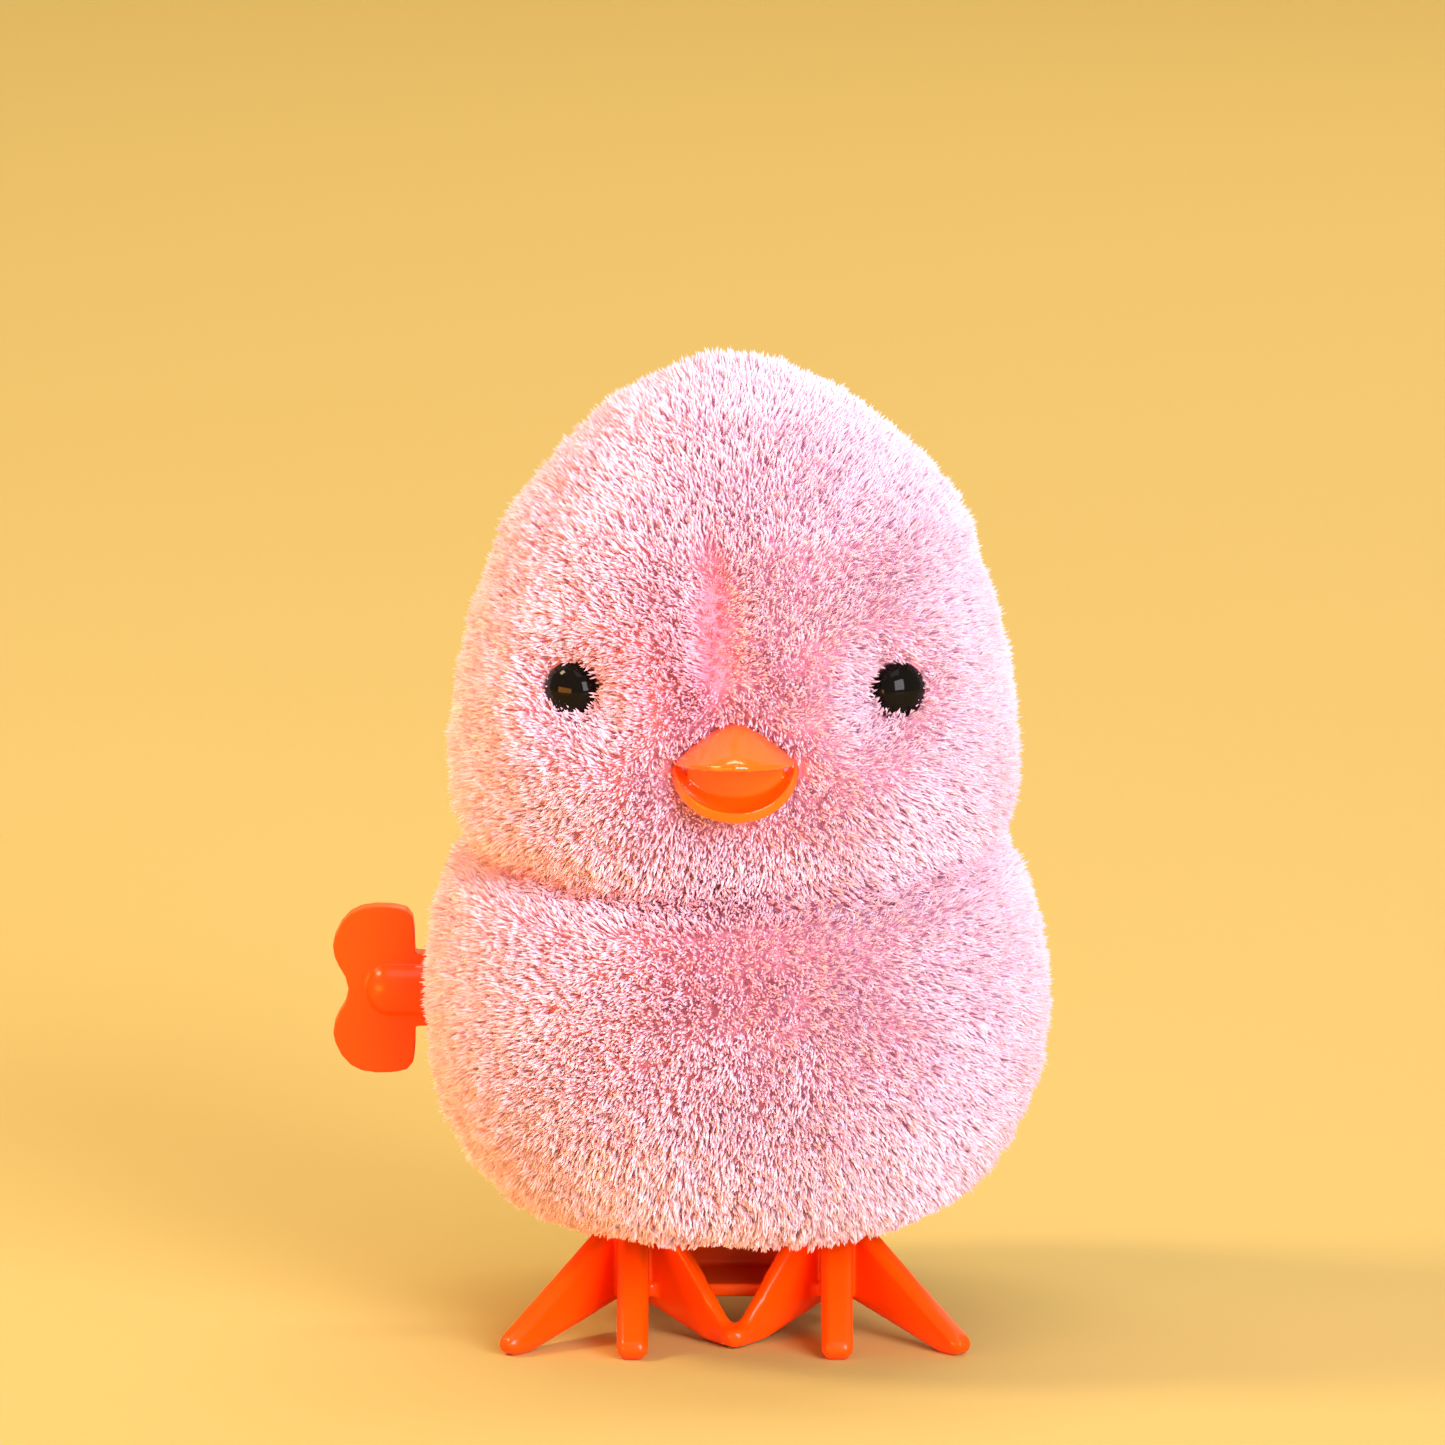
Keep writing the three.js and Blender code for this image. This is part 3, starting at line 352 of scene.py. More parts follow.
def skin_grid():
    """The cloth's outside, one pile's length inside the form, and its outward directions."""
    outer = shaped(envelope())
    normal = grid_normals(outer)
    aside, reach = dart_line(*np.moveaxis(outer, 2, 0))
    depth = PILE - 0.3 * reach * bump(aside, 1.7)
    return outer - normal * depth[..., None], normal


def hem_rows(lowest):
    """Rows that carry the cloth under the belly and into the opening, from the grid's lowest row inwards."""
    direction = lowest - lowest.mean(0)
    turn = np.arctan2(direction[:, 1] / OPENING_DEEP, direction[:, 0] / OPENING_HALF)
    c, s = np.cos(turn), np.sin(turn)
    square = 1 / (np.abs(c) ** 3 + np.abs(s) ** 3) ** (1 / 3)
    height = np.full(len(c), BELLY_Z + HEM_RISE)
    edge = np.stack([OPENING_HALF * c * square, OPENING_DEEP * s * square, height], 1)
    rows = []
    for share in (0.3, 0.62, 0.9):
        row = lowest + share * (edge - lowest)
        row[:, 2] -= HEM_SAG * math.sin(math.pi * share)
        rows.append(row)
    lip = edge.copy()
    lip[:, 2] += LIP_RISE
    return rows + [edge, lip]


def build_skin():
    """The backing cloth, one closed wall, open underneath and holed for the key."""
    grid, normal = skin_grid()
    hem = hem_rows(grid[0])
    outside = [*hem[::-1], *grid]
    inside = [row - n * CLOTH_WALL for row, n in zip(grid, normal)][::-1]
    rows = outside + inside + [hem[-1] * (1.02, 1.02, 1) + (0, 0, 0.05)]
    count = len(outside)
    vertices = np.concatenate([np.asarray(r) for r in rows])
    vertices[:, 1] += MIDDLE_Y
    faces = []
    for k in (*range(count - 1), *range(count, len(rows) - 1)):
        for i in range(AROUND):
            j = (i + 1) % AROUND
            a, b = k * AROUND, (k + 1) * AROUND
            faces.append((a + i, a + j, b + j, b + i))
    # the crown is closed outside and inside, and the wall is closed at the hem's lip
    top, under = (count - 1) * AROUND, count * AROUND
    faces.append(tuple(range(top, top + AROUND)))
    faces.append(tuple(range(under + AROUND - 1, under - 1, -1)))
    last = (len(rows) - 1) * AROUND
    for i in range(AROUND):
        j = (i + 1) % AROUND
        faces.append((last + i, last + j, j, i))
    skin = piece_from("backing_cloth", vertices, faces)
    reach, inner_x = 40, -15
    rod = [(0, -reach), (KEY_HOLE_R, -reach), (KEY_HOLE_R, 0), (0, 0)]
    cutter = lathe("key_hole", rod, KEY_AXIS * (0, 1, 1) + (inner_x, 0, 0), (1, 0, 0))
    cut = skin.modifiers.new("key_hole", "BOOLEAN")
    cut.operation = "DIFFERENCE"
    cut.solver = "EXACT"
    cut.object = cutter
    skin = finished(skin, "backing_cloth")
    bpy.data.objects.remove(cutter)
    skin.data.shade_smooth()
    return skin


# ------------------------------------------------------------------ the pile
REGIONS = ("belly_front", "belly_right", "belly_left", "rump", "breast", "nape", "cheek_right", "cheek_left",
           "brow_right", "brow_left", "crown_back", "back")
NUMBER_OF = {name: number for number, name in enumerate(REGIONS)}
NO_PILE = -1
BELLY_TOP, CHEEK_TOP, NAPE_Y = 26, 63, 3
FIBRE_LENGTH, FIBRE_RADIUS, FIBRE_LEAN = 2.15, 0.105, 0.16
FIBRES_PER_SQUARE_METRE = 26e6


def region_of(x, y, z):
    """Which patch of the pile a place is in, by its number."""
    def one_of(tests, names):
        return np.select(tests, [NUMBER_OF[name] for name in names[:-1]], NUMBER_OF[names[-1]])

    ahead = -y > np.abs(x) * 0.75
    behind = y > np.abs(x) * 0.75
    low = one_of([ahead, behind, x < 0], ("belly_front", "rump", "belly_right", "belly_left"))
    breast = one_of([ahead, behind, x < 0], ("breast", "back", "belly_right", "belly_left"))
    face = one_of([y > NAPE_Y, x < 0], ("nape", "cheek_right", "cheek_left"))
    top = one_of([y > NAPE_Y, x < 0], ("crown_back", "brow_right", "brow_left"))
    return np.select([z < BELLY_TOP, z < NECK_Z - 1, z < CHEEK_TOP], [low, breast, face], top)


def comb_field(p, n):
    """The way the pile lies at each place: a unit vector along the cloth, away from face or breast."""
    x, y, z = p.T
    head = z > NECK_Z - 1
    centre = np.where(head[:, None], (-1.0, -24.0, 61.0), (0.0, -26.0, 47.0))
    away = p - centre
    away /= np.linalg.norm(away, axis=1, keepdims=True)
    down = np.array((0, 0, -1.0))
    fall = np.where(head, 0.15 + 0.5 * np.clip((y + 5) / 20, 0, 1), 0.9 * np.clip((z - 13) / 8, 0, 1))
    flow = away + fall[:, None] * down
    flow -= (flow * n).sum(1)[:, None] * n
    flow /= np.maximum(np.linalg.norm(flow, axis=1, keepdims=True), 1e-6)
    return flow


def set_attribute(mesh, name, kind, values):
    """Puts one value on each of the mesh's points, under a name."""
    attribute = mesh.attributes.new(name, kind, "POINT")
    key = "vector" if kind == "FLOAT_VECTOR" else "value"
    attribute.data.foreach_set(key, np.ascontiguousarray(values, dtype=np.float32).ravel())


def bed_of_pile(skin):
    """A working copy of the cloth's outside that carries the pile's lie, length, cover and tone."""
    mesh = skin.data.copy()
    count = len(mesh.vertices)
    p = np.empty(count * 3)
    mesh.vertices.foreach_get("co", p)
    p = p.reshape(-1, 3) / MM - (0, MIDDLE_Y, 0)
    n = np.empty(count * 3)
    mesh.vertex_normals.foreach_get("vector", n)
    n = n.reshape(-1, 3)
    x, y, z = p.T
    flow = comb_field(p, n)
    lean = np.full(count, FIBRE_LEAN)
    comb = n * np.sqrt(1 - lean**2)[:, None] + flow * lean[:, None]
    length = np.full(count, FIBRE_LENGTH)
    cover = np.ones(count)
    front = y < 0
    aside, reach = dart_line(x, y, z)
    # deeper colour at the breast's spot, in the dart and over the beak; and painted shade in the neck's fold,
    # deepest in front on the key's side
    patch = 0.2 * bump(np.hypot((x + 1) * 0.8, (z - 37.5) * 1.2), 4.4) * front
    patch = np.maximum(patch, 1.5 * bump(aside, 0.62) * reach)
    patch = np.maximum(patch, 0.4 * bump(x + 4, 5) * bump(z - 63, 4) * front)
    # painted shade: the cloth in the fold under the chin is coloured a deeper pink
    patch = np.maximum(patch, 0.55 * neck_fold(x, y, z, 1.0))
    length *= 1 - 0.35 * neck_fold(x, y, z, 0.9)
    # shorter fibres and bare cloth round the eyes, in the mouth and round the key
    for side in ("right", "left"):
        apart = np.hypot(x - EYES[side][0], z - EYES[side][2])
        length = np.where(front, np.minimum(length, 1.15 + 0.2 * apart), length)
        outwards = 0.55 if side == "left" else -0.55
        outer = np.hypot(x - EYES[side][0] - outwards, z - EYES[side][2] - 0.45)
        cover = np.where(front & (outer < 2.5), 0, cover)
    over = z - MOUTH_Z
    mouth = np.where(over > 0, np.abs(x) / 5.4 + over / 3.5, np.hypot(x / 5.6, over / 4.6))
    by_mouth = 1.0 + 1.4 * np.clip(mouth - 0.8, 0, 2)
    length = np.where(front & (mouth < 1.9), np.minimum(length, by_mouth), length)
    cover = np.where(front & (mouth < np.where(over > 0, 0.86, 0.97)), 0, cover)
    cover = np.where(front & (np.hypot(np.abs(x) - 4.6, over + 0.6) < 1.5), 0, cover)
    key = np.hypot(y - KEY_AXIS[1] + MIDDLE_Y, z - KEY_AXIS[2])
    cover = np.where((x < 0) & (key < KEY_BARE_R), 0, cover)
    length = np.where((x < 0) & (key < 8), np.minimum(length, 1.3 + 0.1 * key), length)
    # the dart's fibres are short and part to both sides
    length *= 1 - 0.8 * reach * bump(aside, 0.65)
    away = reach * bump(aside, 1.9) * np.sign(aside) * 0.75
    comb[:, 0] += away
    comb /= np.linalg.norm(comb, axis=1, keepdims=True)
    # short under the belly, and none on the wall's inside
    under = np.clip((BELLY_Z + 4.6 - z) / 3.2, 0, 1)
    length = length * (1 - 0.55 * under)
    inward = (n * np.stack([x, y, np.zeros(count)], 1)).sum(1) < -2
    cover = np.where(inward & (z < CROWN_Z - 8), 0, cover)
    set_attribute(mesh, "comb", "FLOAT_VECTOR", comb)
    set_attribute(mesh, "pile_length", "FLOAT", length * MM)
    set_attribute(mesh, "cover", "FLOAT", cover)
    set_attribute(mesh, "patch", "FLOAT", patch)
    middles = np.empty(len(mesh.polygons) * 3)
    mesh.polygons.foreach_get("center", middles)
    m = middles.reshape(-1, 3) / MM - (0, MIDDLE_Y, 0)
    region = mesh.attributes.new("region", "INT", "FACE")
    which = region_of(*m.T)
    facing = np.empty(len(mesh.polygons) * 3)
    mesh.polygons.foreach_get("normal", facing)
    facing = facing.reshape(-1, 3)
    hidden = (facing * (m - (0, 0, 40))).sum(1) < 0
    hidden &= (m[:, 2] > BELLY_Z + 1.0) | (facing[:, 2] > 0)
    which = np.where(hidden, NO_PILE, which)
    region.data.foreach_set("value", which.astype(np.int32))
    bed = bpy.data.objects.new("pile_bed", mesh)
    bpy.context.collection.objects.link(bed)
    return bed


class Tree:
    """A short way to lay out a node tree."""

    def __init__(self, tree):
        self.tree = tree

    def node(self, kind, inputs=None, **settings):
        node = self.tree.nodes.new(kind)
        for key, value in settings.items():
            setattr(node, key, value)
        for key, value in (inputs or {}).items():
            self.feed(node.inputs[key], value)
        return node

    def feed(self, socket, value):
        if isinstance(value, bpy.types.NodeSocket):
            self.tree.links.new(value, socket)
        elif isinstance(value, bpy.types.Node):
            self.tree.links.new(value.outputs[0], socket)
        else:
            socket.default_value = value

    def maths(self, operation, a, b=0.0):
        return self.node("ShaderNodeMath", {0: a, 1: b}, operation=operation).outputs[0]

    def vector(self, operation, a, b=(0, 0, 0)):
        return self.node("ShaderNodeVectorMath", {0: a, 1: b}, operation=operation).outputs[0]

    def scaled(self, a, factor):
        return self.node("ShaderNodeVectorMath", {0: a, "Scale": factor}, operation="SCALE").outputs[0]


def pile_tree(material):
    """Fibres over one region of the bed: a short one at each place, gathered into tufts by their tips."""
    group = bpy.data.node_groups.new("pile", "GeometryNodeTree")
    face = group.interface
    face.new_socket("Bed", in_out="INPUT", socket_type="NodeSocketGeometry")
    for name, kind, value in (("Region", "NodeSocketInt", 0),
                              ("Fibres per square metre", "NodeSocketFloat", FIBRES_PER_SQUARE_METRE),
                              ("Tufts per square metre", "NodeSocketFloat", 9e6),
                              ("Fibre radius", "NodeSocketFloat", FIBRE_RADIUS * MM),
                              ("Gather", "NodeSocketFloat", 0.75),
                              ("Tuft", "NodeSocketFloat", 0.6 * MM),
                              ("Stray", "NodeSocketFloat", 0.25 * MM),
                              ("Seed", "NodeSocketInt", SEED)):
        face.new_socket(name, in_out="INPUT", socket_type=kind).default_value = value
    face.new_socket("Pile", in_out="OUTPUT", socket_type="NodeSocketGeometry")
    t = Tree(group)
    given = t.node("NodeGroupInput").outputs

    def named(name, kind="FLOAT"):
        reader = t.node("GeometryNodeInputNamedAttribute", {"Name": name}, data_type=kind)
        return reader.outputs["Attribute"]

    def kept(geometry, name, value, kind="FLOAT", domain="POINT"):
        inputs = {"Geometry": geometry, "Name": name, "Value": value}
        return t.node("GeometryNodeStoreNamedAttribute", inputs, data_type=kind, domain=domain).outputs[0]

    def chance(low, high, seed, kind="FLOAT", which=None):
        given_ones = {"Min": low, "Max": high, "Seed": seed}
        if which is not None:
            given_ones["ID"] = which
        return t.node("FunctionNodeRandomValue", given_ones, data_type=kind).outputs["Value"]

    place = t.node("GeometryNodeInputPosition").outputs[0]
    here = t.node("FunctionNodeCompare", {"A": named("region", "INT"), "B": given["Region"]},
                  data_type="INT", operation="EQUAL").outputs["Result"]
    bed = t.node("GeometryNodeSeparateGeometry", {"Geometry": given["Bed"], "Selection": here}, domain="FACE")
    roots = t.node("GeometryNodeDistributePointsOnFaces", {
        "Mesh": bed.outputs["Selection"], "Distance Min": 0.09 * MM,
        "Density Max": given["Fibres per square metre"], "Density Factor": named("cover"),
        "Seed": given["Seed"],
    }, distribute_method="POISSON")
    tufts = t.node("GeometryNodeDistributePointsOnFaces", {
        "Mesh": bed.outputs["Selection"], "Distance Min": 0.22 * MM,
        "Density Max": given["Tufts per square metre"], "Seed": t.maths("ADD", given["Seed"], 40.0),
    }, distribute_method="POISSON")
    nearest = t.node("GeometryNodeSampleNearest", {"Geometry": tufts.outputs["Points"]}, domain="POINT")
    centre = t.node("GeometryNodeSampleIndex", {"Geometry": tufts.outputs["Points"], "Value": place,
                                                "Index": nearest.outputs[0]}, data_type="FLOAT_VECTOR")
    points = kept(roots.outputs["Points"], "draw", t.vector("SUBTRACT", centre.outputs[0], place),
                  "FLOAT_VECTOR")
    points = kept(points, "veer", chance((-1, -1, -1), (1, 1, 1), 5, "FLOAT_VECTOR", nearest.outputs[0]),
                  "FLOAT_VECTOR")
    points = kept(points, "root", place, "FLOAT_VECTOR")
    points = kept(points, "cloth_normal", roots.outputs["Normal"], "FLOAT_VECTOR")
    points = kept(points, "cell", t.node("GeometryNodeInputIndex").outputs[0])
    points = kept(points, "tone", t.maths("ADD", t.maths("MULTIPLY", chance(0.0, 1.0, 1), 0.5),
                                          chance(0.0, 0.5, 2, which=nearest.outputs[0])))
    # one fibre of unit length: three-sided, fullest at its waist and pointed at both ends
    waist = 0.8  # of its length, from the root
    cone = {"Vertices": 3, "Side Segments": 1, "Radius Top": 0.0, "Radius Bottom": 1.0}
    tip = t.node("GeometryNodeMeshCone", {**cone, "Depth": 1 - waist}, fill_type="NONE")
    tip_up = t.node("GeometryNodeTransform", {"Geometry": tip.outputs["Mesh"], "Translation": (0, 0, waist)})
    stem = t.node("GeometryNodeMeshCone", {**cone, "Depth": waist}, fill_type="NONE")
    stem_down = t.node("GeometryNodeTransform", {"Geometry": stem.outputs["Mesh"],
                                                 "Translation": (0, 0, waist), "Scale": (1, 1, -1)})
    stem_out = t.node("GeometryNodeFlipFaces", {"Mesh": stem_down.outputs[0]})
    both = t.node("GeometryNodeJoinGeometry", {"Geometry": tip_up.outputs[0]})
    t.tree.links.new(stem_out.outputs[0], both.inputs[0])
    spike = t.node("GeometryNodeMergeByDistance", {"Geometry": both.outputs[0], "Distance": 0.001})
    split = t.node("ShaderNodeSeparateXYZ", {0: place}).outputs
    fibre = kept(spike.outputs[0], "along", split["Z"])
    fibre = kept(fibre, "aside", t.maths("MULTIPLY", split["Y"], 0.4))
    wander = chance((-0.24, -0.24, -0.24), (0.24, 0.24, 0.24), 3, "FLOAT_VECTOR")
    lie = t.vector("ADD", named("comb", "FLOAT_VECTOR"), wander)
    stand = t.node("FunctionNodeAlignRotationToVector", {"Vector": lie}, axis="Z")
    tall = t.maths("MULTIPLY", named("pile_length"), chance(0.88, 1.06, 11))
    tall = t.maths("MULTIPLY", tall, chance(0.93, 1.06, 12, which=nearest.outputs[0]))
    long_one = t.maths("GREATER_THAN", chance(0.0, 1.0, 13), 0.985)
    tall = t.maths("MULTIPLY", tall, t.maths("ADD", 1.0, t.maths("MULTIPLY", long_one, 0.1)))
    size = t.node("ShaderNodeCombineXYZ", {"X": given["Fibre radius"], "Y": given["Fibre radius"], "Z": tall})
    grown = t.node("GeometryNodeInstanceOnPoints", {"Points": points, "Instance": fibre,
                   "Rotation": stand.outputs[0], "Scale": size.outputs[0]})
    real = t.node("GeometryNodeRealizeInstances", {"Geometry": grown.outputs[0]})
    height = named("along")

    def drift(scale, reach):
        inputs = {"Vector": named("root", "FLOAT_VECTOR"), "Scale": scale, "Detail": 1.0}
        cloud = t.node("ShaderNodeTexNoise", inputs)
        return t.scaled(t.vector("SUBTRACT", cloud.outputs["Color"], (0.5, 0.5, 0.5)), reach)

    gather = t.scaled(named("draw", "FLOAT_VECTOR"), given["Gather"])
    tuft = t.scaled(named("veer", "FLOAT_VECTOR"), t.maths("MULTIPLY", given["Tuft"], 0.6))
    stray = drift(420.0, t.maths("MULTIPLY", given["Stray"], 4.0))
    swirl = drift(130.0, t.maths("MULTIPLY", given["Stray"], 4.0))
    bend = t.vector("ADD", t.vector("ADD", gather, tuft), t.vector("ADD", stray, swirl))
    late = t.maths("POWER", height, 1.7)
    moved = t.node("GeometryNodeSetPosition", {"Geometry": real.outputs[0], "Offset": t.scaled(bend, late)})
    # each fibre has its own small cell of the map that its colours are kept in
    columns, rows = 256.0, 200.0
    cell = named("cell")
    across = t.maths("ADD", t.maths("ADD", t.maths("MODULO", cell, columns), 0.5), named("aside"))
    upward = t.maths("ADD", t.maths("FLOOR", t.maths("DIVIDE", cell, columns)),
                     t.maths("ADD", t.maths("MULTIPLY", height, 0.8), 0.1))
    chart = t.node("ShaderNodeCombineXYZ", {"X": t.maths("DIVIDE", across, columns),
                                            "Y": t.maths("DIVIDE", upward, rows)})
    mapped = kept(moved.outputs[0], "OFBake", chart.outputs[0], "FLOAT2", "CORNER")
    # normals turned most of the way to the cloth's own, so that the pile is lit as one soft surface
    lit = t.vector("ADD", t.scaled(t.node("GeometryNodeInputNormal").outputs[0], 0.3),
                   t.scaled(named("cloth_normal", "FLOAT_VECTOR"), 0.7))
    soft = t.node("GeometryNodeSetMeshNormal", {"Mesh": mapped, "Custom Normal": t.vector("NORMALIZE", lit)},
                  mode="FREE", domain="POINT")
    dressed = t.node("GeometryNodeSetMaterial", {"Geometry": soft.outputs[0], "Material": material})
    t.node("NodeGroupOutput", {"Pile": dressed.outputs[0]})
    return group


def grow_pile(skin, material):
    """The pile, one piece for each region."""
    bed = bed_of_pile(skin)
    tree = pile_tree(material)
    sockets = {item.name: item.identifier for item in tree.interface.items_tree if item.in_out == "INPUT"}
    pieces = []
    for number, name in enumerate(REGIONS):
        patch = bpy.data.objects.new("working_" + name, bed.data.copy())
        bpy.context.collection.objects.link(patch)
        modifier = patch.modifiers.new("pile", "NODES")
        modifier.node_group = tree
        modifier[sockets["Region"]] = number
        modifier[sockets["Fibres per square metre"]] = FIBRES_PER_SQUARE_METRE
        modifier[sockets["Seed"]] = SEED + number
        pieces.append(finished(patch, "pile_" + name))
    bpy.data.objects.remove(bed)
    return pieces


# ------------------------------------------------------------------ eyes, beak, key and feet
EYE_TURN, EYE_RADIUS, EYE_DOME, EYE_SHANK_R, EYE_SHANK = 34, 2.6, 1.9, 0.9, 7.2


def build_eye(side):
    """A domed bead on a shank, turned outwards and placed from the CAD bead's box."""
    low, high = (np.array(corner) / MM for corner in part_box("eye_" + side))
    sign = -1 if side == "right" else 1
    turn = math.radians(EYE_TURN) * sign
    direction = np.array((math.sin(turn), -math.cos(turn), 0))
    radius, dome = EYE_RADIUS, EYE_DOME
    # the rim's middle, from the furthest places that a half-round bead reaches outwards and forwards
    aside = math.hypot(radius * math.cos(turn), dome * math.sin(turn))
    ahead = math.hypot(radius * math.sin(turn), dome * math.cos(turn))
    outermost = high[0] if sign > 0 else low[0]
    rim = np.array((outermost - sign * aside, low[1] + ahead, (low[2] + high[2]) / 2 - EYE_DROP))
    profile = [(0, -EYE_SHANK), (EYE_SHANK_R, -EYE_SHANK), (EYE_SHANK_R, -1.0),
               (radius - 0.5, -0.95), (radius - 0.12, -0.7), (radius, -0.3)]
    steps = 14
    for k in range(steps + 1):
        a = math.pi / 2 * k / steps
        profile.append((radius * math.cos(a) if k < steps else 0, dome * math.sin(a)))
    return lathe("bead_eye_" + side, profile, rim, direction)


def shell_faces(rows, steps):
    """Faces of a closed slab made of two grids of places, one after the other."""
    faces, n = [], rows * steps
    for r in range(rows - 1):
        for s in range(steps - 1):
            a = r * steps + s
            faces.append((a, a + 1, a + steps + 1, a + steps))
            faces.append((a + n, a + n + steps, a + n + steps + 1, a + n + 1))
        a, b = r * steps, r * steps + steps - 1
        faces.append((a, a + steps, a + steps + n, a + n))
        faces.append((b, b + n, b + steps + n, b + steps))
    for s in range(steps - 1):
        a = (rows - 1) * steps + s
        faces.append((s, s + n, s + n + 1, s + 1))
        faces.append((a, a + 1, a + n + 1, a + n))
    return faces


def facing_out(piece):
    """The piece with all its faces turned outwards."""
    whole = bmesh.new()
    whole.from_mesh(piece.data)
    bmesh.ops.recalc_face_normals(whole, faces=whole.faces)
    whole.to_mesh(piece.data)
    whole.free()
    return piece


UPPER_HALF_WIDTH, UPPER_TALL = 5.2, 3.2
SPOON_HALF_WIDTH, SPOON_DEEP, SPOON_WALL, SPOON_LIP = 5.5, 2.6, 0.85, 0.2
SPOON_REACH = (0, -5.2, -4.1)  # from the mouth's middle to the spoon's tip
PLUG_R, PLUG_DEEP, PLUG_SQUASH, SHANK_R = 4.3, 1.2, 0.6, 1.5


def build_beak():
    """A tent-shaped upper bill over an open spoon, one moulding on a round root."""
    rows, steps = 26, 37
    length = BEAK_ROOT_Y - BEAK_LOW[1]
    top, base = [], []
    for v in np.linspace(0, 1, rows):
        wide = UPPER_HALF_WIDTH * max(1 - v**2.1, 0.0) ** 0.62 + 0.05
        tall = UPPER_TALL * max(1 - v**1.5, 0.0) ** 0.85 + 0.1
        edge = MOUTH_Z + 0.75 * v
        y = BEAK_ROOT_Y - length * v
        for u in np.linspace(-1, 1, steps):
            ridge = 1 - abs(u) ** 1.55
            top.append((wide * u, y, edge + 0.12 + tall * ridge))
            base.append((wide * u, y, edge - 0.3 + 0.55 * tall * ridge))
    upper = facing_out(piece_from("upper_working", top + base, shell_faces(rows, steps)))
    centre = np.array((0, BEAK_ROOT_Y, MOUTH_Z + 0.25))
    reach = np.array(SPOON_REACH)
    inwards = np.array((0, 4.55, -5.4)) / math.hypot(4.55, 5.4)
    inner, outer = [], []
    rings, turns = 20, 41
    for q in np.linspace(0.02, 1, rings):
        for a in np.linspace(0, math.pi, turns):
            rim = np.array((SPOON_HALF_WIDTH * math.cos(a), 0, 0)) + reach * math.sin(a) ** 0.92
            sink = SPOON_DEEP * (1 - q**3.0)
            inner.append(centre + rim * (q - SPOON_LIP * q / SPOON_HALF_WIDTH) + inwards * sink)
            outer.append(centre + rim * (q + SPOON_LIP * q**2 / SPOON_HALF_WIDTH)
                         + inwards * (sink + SPOON_WALL))
    spoon = facing_out(piece_from("spoon_working", inner + outer, shell_faces(rings, turns)))
    root = np.array((0, BEAK_ROOT_Y, MOUTH_Z - 0.3))
    back = BEAK_ROOT_Y - BEAK_HIGH[1]
    plug = lathe("plug_working", [(0, -PLUG_DEEP), (PLUG_R, -PLUG_DEEP), (PLUG_R, 0.4), (0, 0.4)], root,
                 (0, -1, 0), 40)
    for vertex in plug.data.vertices:
        vertex.co.z = min(vertex.co.z, root[2] * MM + PLUG_SQUASH * (vertex.co.z - root[2] * MM))
    shank = lathe("shank_working", [(0, back), (SHANK_R, back), (SHANK_R, 0), (0, 0)], root, (0, -1, 0), 24)
    parts = [upper, spoon, plug, shank]
    beak = moulded("open_beak", parts, 0.11, 4, 26000)
    for part in parts:
        bpy.data.objects.remove(part)
    return beak


# the wing's upper lobe, from the barrel out to the notch at its end, as (x, height over the axis)
KEY_OUTLINE = [
    (-28.65, 3.35), (-28.7, 5.5), (-28.85, 6.6), (-29.45, 7.3), (-30.5, 7.55), (-32.2, 7.6), (-33.5, 7.4),
    (-34.5, 6.9), (-35.3, 6.0), (-35.85, 4.9), (-36.05, 4.0), (-35.9, 3.0), (-35.5, 2.1), (-34.95, 1.2),
    (-34.65, 0.0),
]
KEY_THICK, KEY_BARREL_R, KEY_NOSE_X, KEY_NOSE = 2.2, 2.6, -33.3, 2.2


def prism(name, outline, y0, y1):
    """A plate between two depths, from an outline of (x, z) places."""
    vertices = [(x, y, z) for y in (y0, y1) for x, z in outline]
    count = len(outline)
    sides = [(i, (i + 1) % count, count + (i + 1) % count, count + i) for i in range(count)]
    faces = [tuple(range(count))[::-1], tuple(range(count, 2 * count))] + sides
    return facing_out(piece_from(name, vertices, faces, smooth=False))


def build_key():
    """A flat two-lobed wing cast round a barrel with a domed nose."""
    _, y, z = KEY_AXIS
    lobes = KEY_OUTLINE + [(px, -pz) for px, pz in KEY_OUTLINE[-2::-1]]
    inner = KEY_HIGH[0]
    heel_x, heel = inner - 1.2, 3.3
    wing = prism("wing", [(heel_x, heel)] + lobes + [(heel_x, -heel)], y - KEY_THICK / 2, y + KEY_THICK / 2)
    for vertex in wing.data.vertices:
        vertex.co.z += z * MM
    dome = [(KEY_BARREL_R * math.cos(a), KEY_NOSE * math.sin(a)) for a in np.linspace(0, math.pi / 2, 12)]
    length = inner - KEY_NOSE_X - KEY_NOSE
    barrel = lathe("barrel", [(0, -length), (KEY_BARREL_R, -length), *dome[:-1], (0, KEY_NOSE)],
                   np.array((KEY_NOSE_X + KEY_NOSE, y, z)), (-1, 0, 0), 56)
    key = moulded("key_moulding", [wing, barrel], 0.12, 6, 14000)
    for part in (wing, barrel):
        bpy.data.objects.remove(part)
    return key


TOE_ROOT_X, TOE_RUN, TOE_FORWARD = 10.5, 10.5, 4.6
KNUCKLE_HALF, KNUCKLE_ROUNDS = 2.6, 26


